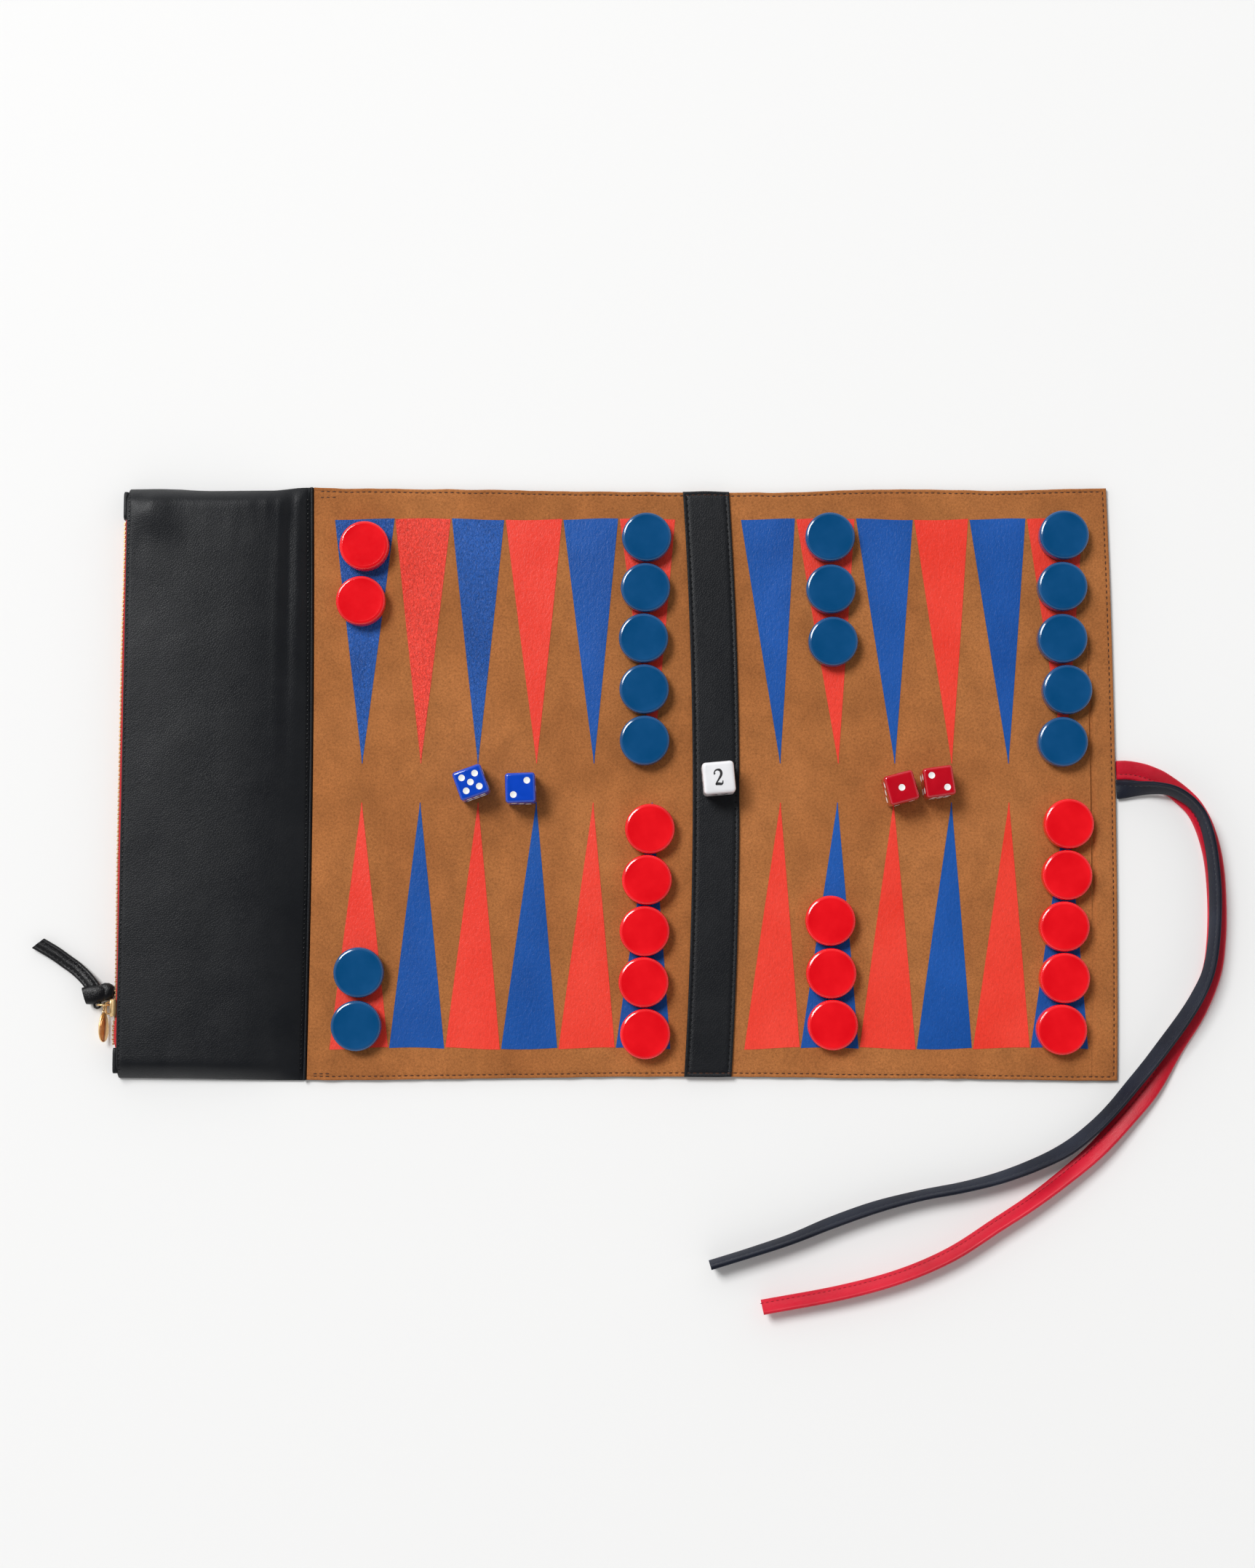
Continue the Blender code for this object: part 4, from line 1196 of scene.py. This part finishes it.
ZIP_Z = 0.0055
TEETH_NEAR_Y = -0.1314
TOOTH_PITCH = 0.0022
TOOTH_COUNT = 120
SLIDER_Y = -0.1125
PLATE_X = -0.2295
ARCH_WIRE = 0.00045
RING_AT = (-0.2341, -0.1110, 0.0055)
ZIP_NEAR_Y, ZIP_FAR_Y = -0.1321, 0.1339
# A tooth from its root to its tip: height, half width along the zip, half thickness, in millimetres
TOOTH = ((1.75, 0.42, 0.36), (1.45, 0.60, 0.50), (0.75, 0.60, 0.50), (0.3, 0.40, 0.42), (-0.35, 0.42, 0.48),
         (-0.6, 0.28, 0.30))


def zip_bulge(y):
    """How far the zip stands out from the leather edge; more behind the slider."""
    belly = smoothstep(-0.10, -0.03, y) * (1 - smoothstep(0.06, 0.125, y))
    behind = (1 - smoothstep(-0.1215, -0.1165, y)) * smoothstep(-0.1325, -0.1290, y)
    return 0.0009 + 0.0004 * belly + 0.0008 * behind


def zip_row(name, side):
    """One half of the zip: side is 1 for the upper tape and teeth, -1 for the lower."""
    tape = Shape()
    rings = []
    leather_z = 0.0083 if side > 0 else 0.0015
    for i in range(89):
        y = ZIP_NEAR_Y + (ZIP_FAR_Y - ZIP_NEAR_Y) * i / 88
        out = POUCH_LEFT_X - zip_bulge(y)
        rings.append([(x, y, z) for x, z in (
            (POUCH_LEFT_X + 0.0004, leather_z), (POUCH_LEFT_X - 0.0002, ZIP_Z + side * 0.0019),
            (out + 0.0002, ZIP_Z + side * 0.0017), (out, ZIP_Z + side * 0.00018),
            (out + 0.00045, ZIP_Z + side * 0.00018), (out + 0.00065, ZIP_Z + side * 0.0013),
            (POUCH_LEFT_X + 0.0003, ZIP_Z + side * 0.00145), (POUCH_LEFT_X + 0.0009, leather_z))])
    tape.tube(rings)
    piece = tape.make("tape_" + name, TAPE, "pouch", 50.0)
    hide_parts("zip_tape_" + name)
    teeth = Shape()
    start = TEETH_NEAR_Y + (0.0 if side > 0 else TOOTH_PITCH / 2)
    for index in range(TOOTH_COUNT):
        y = start + TOOTH_PITCH * (index + 0.5)
        out = POUCH_LEFT_X - zip_bulge(y)
        gape = 0.0002 * (1 - smoothstep(-0.1215, -0.1175, y))
        teeth.tube([[(out - 0.00045 + thick * MM * c, y + wide * MM * s, ZIP_Z + side * (z * MM + gape))
                     for c, s in circle(8, 0.5)] for z, wide, thick in TOOTH])
    piece = teeth.make("teeth_" + name, GOLD, "pouch", 50.0)
    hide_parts("zip_teeth_" + name)


def zip_tab(name, low_y, high_y):
    """Leather cover folded over one end of the zip."""
    shape = Shape()
    rings = []
    count = 12
    for i in range(count + 1):
        t = i / count
        y = low_y + (high_y - low_y) * t
        size = 0.80 + 0.20 * math.sqrt(max(0.0, 1 - (2 * t - 1) ** 6))
        rings.append([(POUCH_LEFT_X - 0.0008 + 0.00135 * squared(c, 0.55) * size, y,
                       0.0048 + 0.0034 * squared(s, 0.55) * size) for c, s in circle(16)])
    shape.tube(rings)
    piece = shape.make("tab_" + name, BLACK, "pouch", 50.0)
    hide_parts("zip_end_tab_" + name)


zip_row("upper", 1)
zip_row("lower", -1)
zip_tab("near", -0.1448, -0.1322)
zip_tab("far", 0.1341, 0.1482)


# ---------------------------------------------------------------- slider, rings, charm

def torus(shape, at, radius, wire, axis, around=48, sides=14, flat=1.0):
    turn_to = UP.rotation_difference(Vector(axis)).to_matrix()
    shape.tube([[turn_to @ Vector(((radius + wire * c) * cos_a, (radius + wire * c) * sin_a, wire * flat * s))
                 + Vector(at) for c, s in circle(sides)] for cos_a, sin_a in circle(around)], closed=True)


def prism(shape, place, outline, low, high, bevel):
    """Plate with softened edges; outline is a list of 2-D points round (0, 0)."""
    rings = []
    for inset, z in ((bevel, low), (bevel * 0.3, low + bevel * 0.3), (0.0, low + bevel),
                     (0.0, high - bevel), (bevel * 0.3, high - bevel * 0.3), (bevel, high)):
        ring = []
        for x, y in outline:
            reach = math.hypot(x, y)
            scale = max(0.0, reach - inset) / reach
            ring.append(place @ Vector((x * scale, y * scale, z)))
        rings.append(ring)
    shape.tube(rings)


def slider():
    shape = Shape()
    outline = []
    for c, s in circle(28):
        half_width = 0.0029 if s > -0.2 else 0.0029 - 0.0007 * (-s - 0.2)
        outline.append((half_width * squared(c, 0.5), 0.0046 * squared(s, 0.6)))
    place = Matrix(((0, 0, -1, PLATE_X), (0, 1, 0, SLIDER_Y), (1, 0, 0, ZIP_Z), (0, 0, 0, 1)))
    prism(shape, place, outline, 0.0, 0.00075, 0.0003)
    # Flanges over both tapes
    for side in (1, -1):
        rings = []
        for i in range(9):
            t = 2 * i / 8 - 1
            taper = 1.0 - 0.25 * abs(t) ** 3
            y, z = SLIDER_Y + 0.0042 * t, ZIP_Z + side * 0.00245
            rings.append([(-0.2284 + 0.0015 * c * taper, y, z + 0.00042 * s) for c, s in circle(10)])
        shape.tube(rings)
    # Arch that holds the ring
    arch = smooth_path([(-0.2298, -0.0030), (-0.2316, -0.0030), (-0.2327, -0.0022), (-0.2328, 0.0),
                        (-0.2327, 0.0022), (-0.2316, 0.0030), (-0.2298, 0.0030)], 4)
    rings = []
    for i, (x, y) in enumerate(arch):
        ahead, behind = arch[min(i + 1, len(arch) - 1)], arch[max(i - 1, 0)]
        dx, dy = ahead[0] - behind[0], ahead[1] - behind[1]
        reach = math.hypot(dx, dy)
        rings.append([(x - dy / reach * ARCH_WIRE * c, SLIDER_Y + y + dx / reach * ARCH_WIRE * c,
                       ZIP_Z + 0.0006 * s) for c, s in circle(10)])
    shape.tube(rings)
    piece = shape.make("slider_body", GOLD, "slider", 40.0)
    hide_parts("zip_slider")


def rings_and_charm():
    ring = Shape()
    torus(ring, RING_AT, 0.0029, 0.00045, (0.0, 1.0, 0.0))
    piece = ring.make("ring_of_pull", GOLD, "pull_ring", 60.0)
    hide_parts("pull_ring")
    link = Shape()
    torus(link, (-0.2341, -0.11195, 0.0026), 0.0019, 0.0004, (1, 0, 0), 40, 12)
    piece = link.make("ring_of_charm", GOLD, "charm", 60.0)
    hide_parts("charm_ring")
    plate = Shape()
    place = Matrix.Translation((-0.2341, -0.1221, 0.0038)) @ Matrix.Rotation(math.radians(62.0), 4, "Y")
    oval = [(0.0035 * c * (1.0 - 0.12 * s), 0.0074 * s) for c, s in circle(64)]
    prism(plate, place, oval, -0.00045, 0.00045, 0.00025)
    raised = [(0.0027 * c * (1 - 0.12 * s), -0.0004 + 0.0060 * s) for c, s in circle(48)]
    for low, high in ((-0.00056, -0.0003), (0.0003, 0.00056)):
        prism(plate, place, raised, low, high, 0.0001)
    torus(plate, place @ Vector((0.0, 0.0076, 0.0)), 0.0008, 0.0003, place.to_3x3() @ UP, 28, 10)
    piece = plate.make("charm_plate", GOLD, "charm", 35.0)
    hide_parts("charm")


slider()
rings_and_charm()


# ---------------------------------------------------------------- leather pull

PULL_HALF = 0.0036
PULL_THICK = 0.0022
PULL_SLANT = 0.0028
# Route points in millimetres, then the roll in degrees
PULL_ROUTE = [
    (-238.6, -103.6, 4.4, 0), (-241.2, -100.2, 3.8, 0), (-244.9, -96.3, 2.9, 0), (-249.2, -92.6, 2.2, 0),
    (-254.5, -88.9, 1.9, 0), (-260.5, -84.8, 1.8, 1), (-269.4, -79.6, 1.9, 3),
]

def half_round(middle, start, thick, steps=7):
    """Rounded side of the pull's section."""
    angles = [math.pi * (start + k / (steps - 1)) for k in range(steps)]
    return [(middle + thick * 0.45 * math.cos(a), thick * 0.45 * math.sin(a)) for a in angles]


def pull_tail():
    frames = strap_frames(PULL_ROUTE, 6)
    half, thick = PULL_HALF, PULL_THICK
    section = half_round(-half + thick * 0.45, 0.5, thick) + [(0.0, -thick * 0.48)]
    section += half_round(half - thick * 0.45, 1.5, thick)
    section += [(x, thick * z) for x, z in ((0.0019, 0.42), (0.0016, 0.33), (0.0013, 0.44), (0.0, 0.56),
                                            (-0.0013, 0.44), (-0.0016, 0.33), (-0.0019, 0.42))]
    lengths = [(b[0] - a[0]).length for a, b in zip(frames, frames[1:])]
    total = length_of([tuple(f[0]) for f in frames])
    slant = PULL_SLANT
    tail = Shape()
    rings = []
    travelled = 0.0
    for (at, across, up, ahead), step in zip(frames, [0.0] + lengths):
        travelled += step
        rings.append([at + across * a + up * b - ahead * (travelled / total * slant * (half - a) / (2 * half))
                      for a, b in section])
    tail.tube(rings)
    piece = tail.make("pull_tail", BLACK_STRAP, "pull", 50.0)
    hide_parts("leather_pull")
    seams = Shape()
    pitch, *size = PULL_STITCH
    for i, share in evenly(lengths, pitch, 0.0075, total - slant):
        a, across, up, ahead = frames[i]
        for offset in (-0.0016, 0.0016):
            at = a.lerp(frames[i + 1][0], share) + across * offset + up * thick * 0.34
            seams.stitch(at, ahead, *size, up)
    seams.make("pull_stitches", BLACK_THREAD, "pull")


def wrap(knot, bands, wall):
    """Open-ended band of leather: each station is a centre, a half-length vector and a half height, in mm."""
    outer, inner = [], []
    for centre, (dx, dy), rise in bands:
        along = Vector((dx, dy, 0.0))
        reach = along.length
        for rings, cut in ((outer, 0.0), (inner, wall)):
            high = max(0.3, rise - cut)
            rings.append([Vector(centre) * MM + along * MM * (squared(c, 0.7) * (reach - cut) / reach)
                          + Vector((0, 0, squared(s, 0.8) * high * MM)) for c, s in circle(28)])
    knot.tube(outer + inner[::-1], closed=True)


def pull_knot():
    knot = Shape()
    wrap(knot, [((-243.9, -106.6, 4.0), (-1.25, 4.15), 2.6), ((-241.9, -106.3, 4.1), (-1.0, 4.5), 3.0),
                ((-239.0, -105.9, 4.2), (-0.5, 4.9), 3.2), ((-236.0, -105.6, 4.2), (0.0, 4.5), 3.2),
                ((-233.6, -105.2, 4.1), (0.3, 3.8), 2.9), ((-232.3, -105.2, 4.1), (0.3, 3.0), 2.3)], 1.1)
    wrap(knot, [((-235.6, -104.6, 3.9), (0.2, 4.0), 2.2), ((-234.0, -104.5, 4.0), (0.2, 4.5), 2.7),
                ((-232.0, -104.5, 4.0), (0.3, 4.4), 2.9), ((-230.4, -104.6, 4.0), (0.4, 3.6), 2.7),
                ((-229.2, -104.8, 4.0), (0.4, 2.7), 2.1)], 1.0)
    # The strip inside the wraps
    plug = ((-242.6, -106.2, 1.6, 0.8), (-241.8, -106.0, 3.4, 1.9), (-238.0, -105.6, 4.2, 2.4),
            (-234.0, -105.0, 3.8, 2.3), (-230.6, -104.8, 2.8, 1.9), (-229.8, -104.8, 1.4, 0.9))
    knot.tube([[Vector((x, y + reach * c, 4.0 + rise * s)) * MM for c, s in circle(20)]
               for x, y, reach, rise in plug])
    # The loop round the ring
    torus(knot, (-0.2370, -0.1110, 0.0055), 0.00155, 0.0006, (0, 0, 1), 32, 12, flat=1.6)
    piece = knot.make("pull_knot_wraps", BLACK_STRAP, "pull", 50.0)
    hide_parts("pull_knot")


pull_tail()
pull_knot()


# ---------------------------------------------------------------- stage and light

FLOOR_REACH = 3
KEY_AT = Vector((-6.0, 6.0, 10.5))
KEY_SIZE = 5.0
KEY_POWER = 1540.0

def stage():
    """Pale floor, a sky that is bright at the horizon, and one soft key light."""
    floor_look = Look("pale_floor", (0.90, 0.90, 0.895), 0.8)
    corners = [(x * FLOOR_REACH, y * FLOOR_REACH, -0.0002) for x, y in ((-1, -1), (1, -1), (1, 1), (-1, 1))]
    add_mesh("floor", corners, [(0, 1, 2, 3)], floor_look.mat)
    world = bpy.data.worlds.new("studio")
    world.use_nodes = True
    tree = world.node_tree
    background = tree.nodes["Background"]
    background.inputs["Color"].default_value = (1.0, 1.0, 1.0, 1.0)
    height = tree.nodes.new("ShaderNodeSeparateXYZ")
    tree.links.new(tree.nodes.new("ShaderNodeTexCoord").outputs["Generated"], height.inputs[0])
    sky = tree.nodes.new("ShaderNodeMapRange")
    for key, value in (("From Min", 0.0), ("From Max", 0.95), ("To Min", 1.25), ("To Max", 0.04)):
        sky.inputs[key].default_value = value
    tree.links.new(height.outputs["Z"], sky.inputs["Value"])
    tree.links.new(sky.outputs["Result"], background.inputs["Strength"])
    bpy.context.scene.world = world
    data = bpy.data.lights.new("key", "AREA")
    data.size = KEY_SIZE
    data.energy = KEY_POWER
    light = put_in_scene("key", data)
    light.location = KEY_AT
    light.rotation_euler = (Vector((0.03, 0, 0)) - KEY_AT).to_track_quat("-Z", "Y").to_euler()
    bpy.context.scene.view_settings.view_transform = "Standard"


stage()
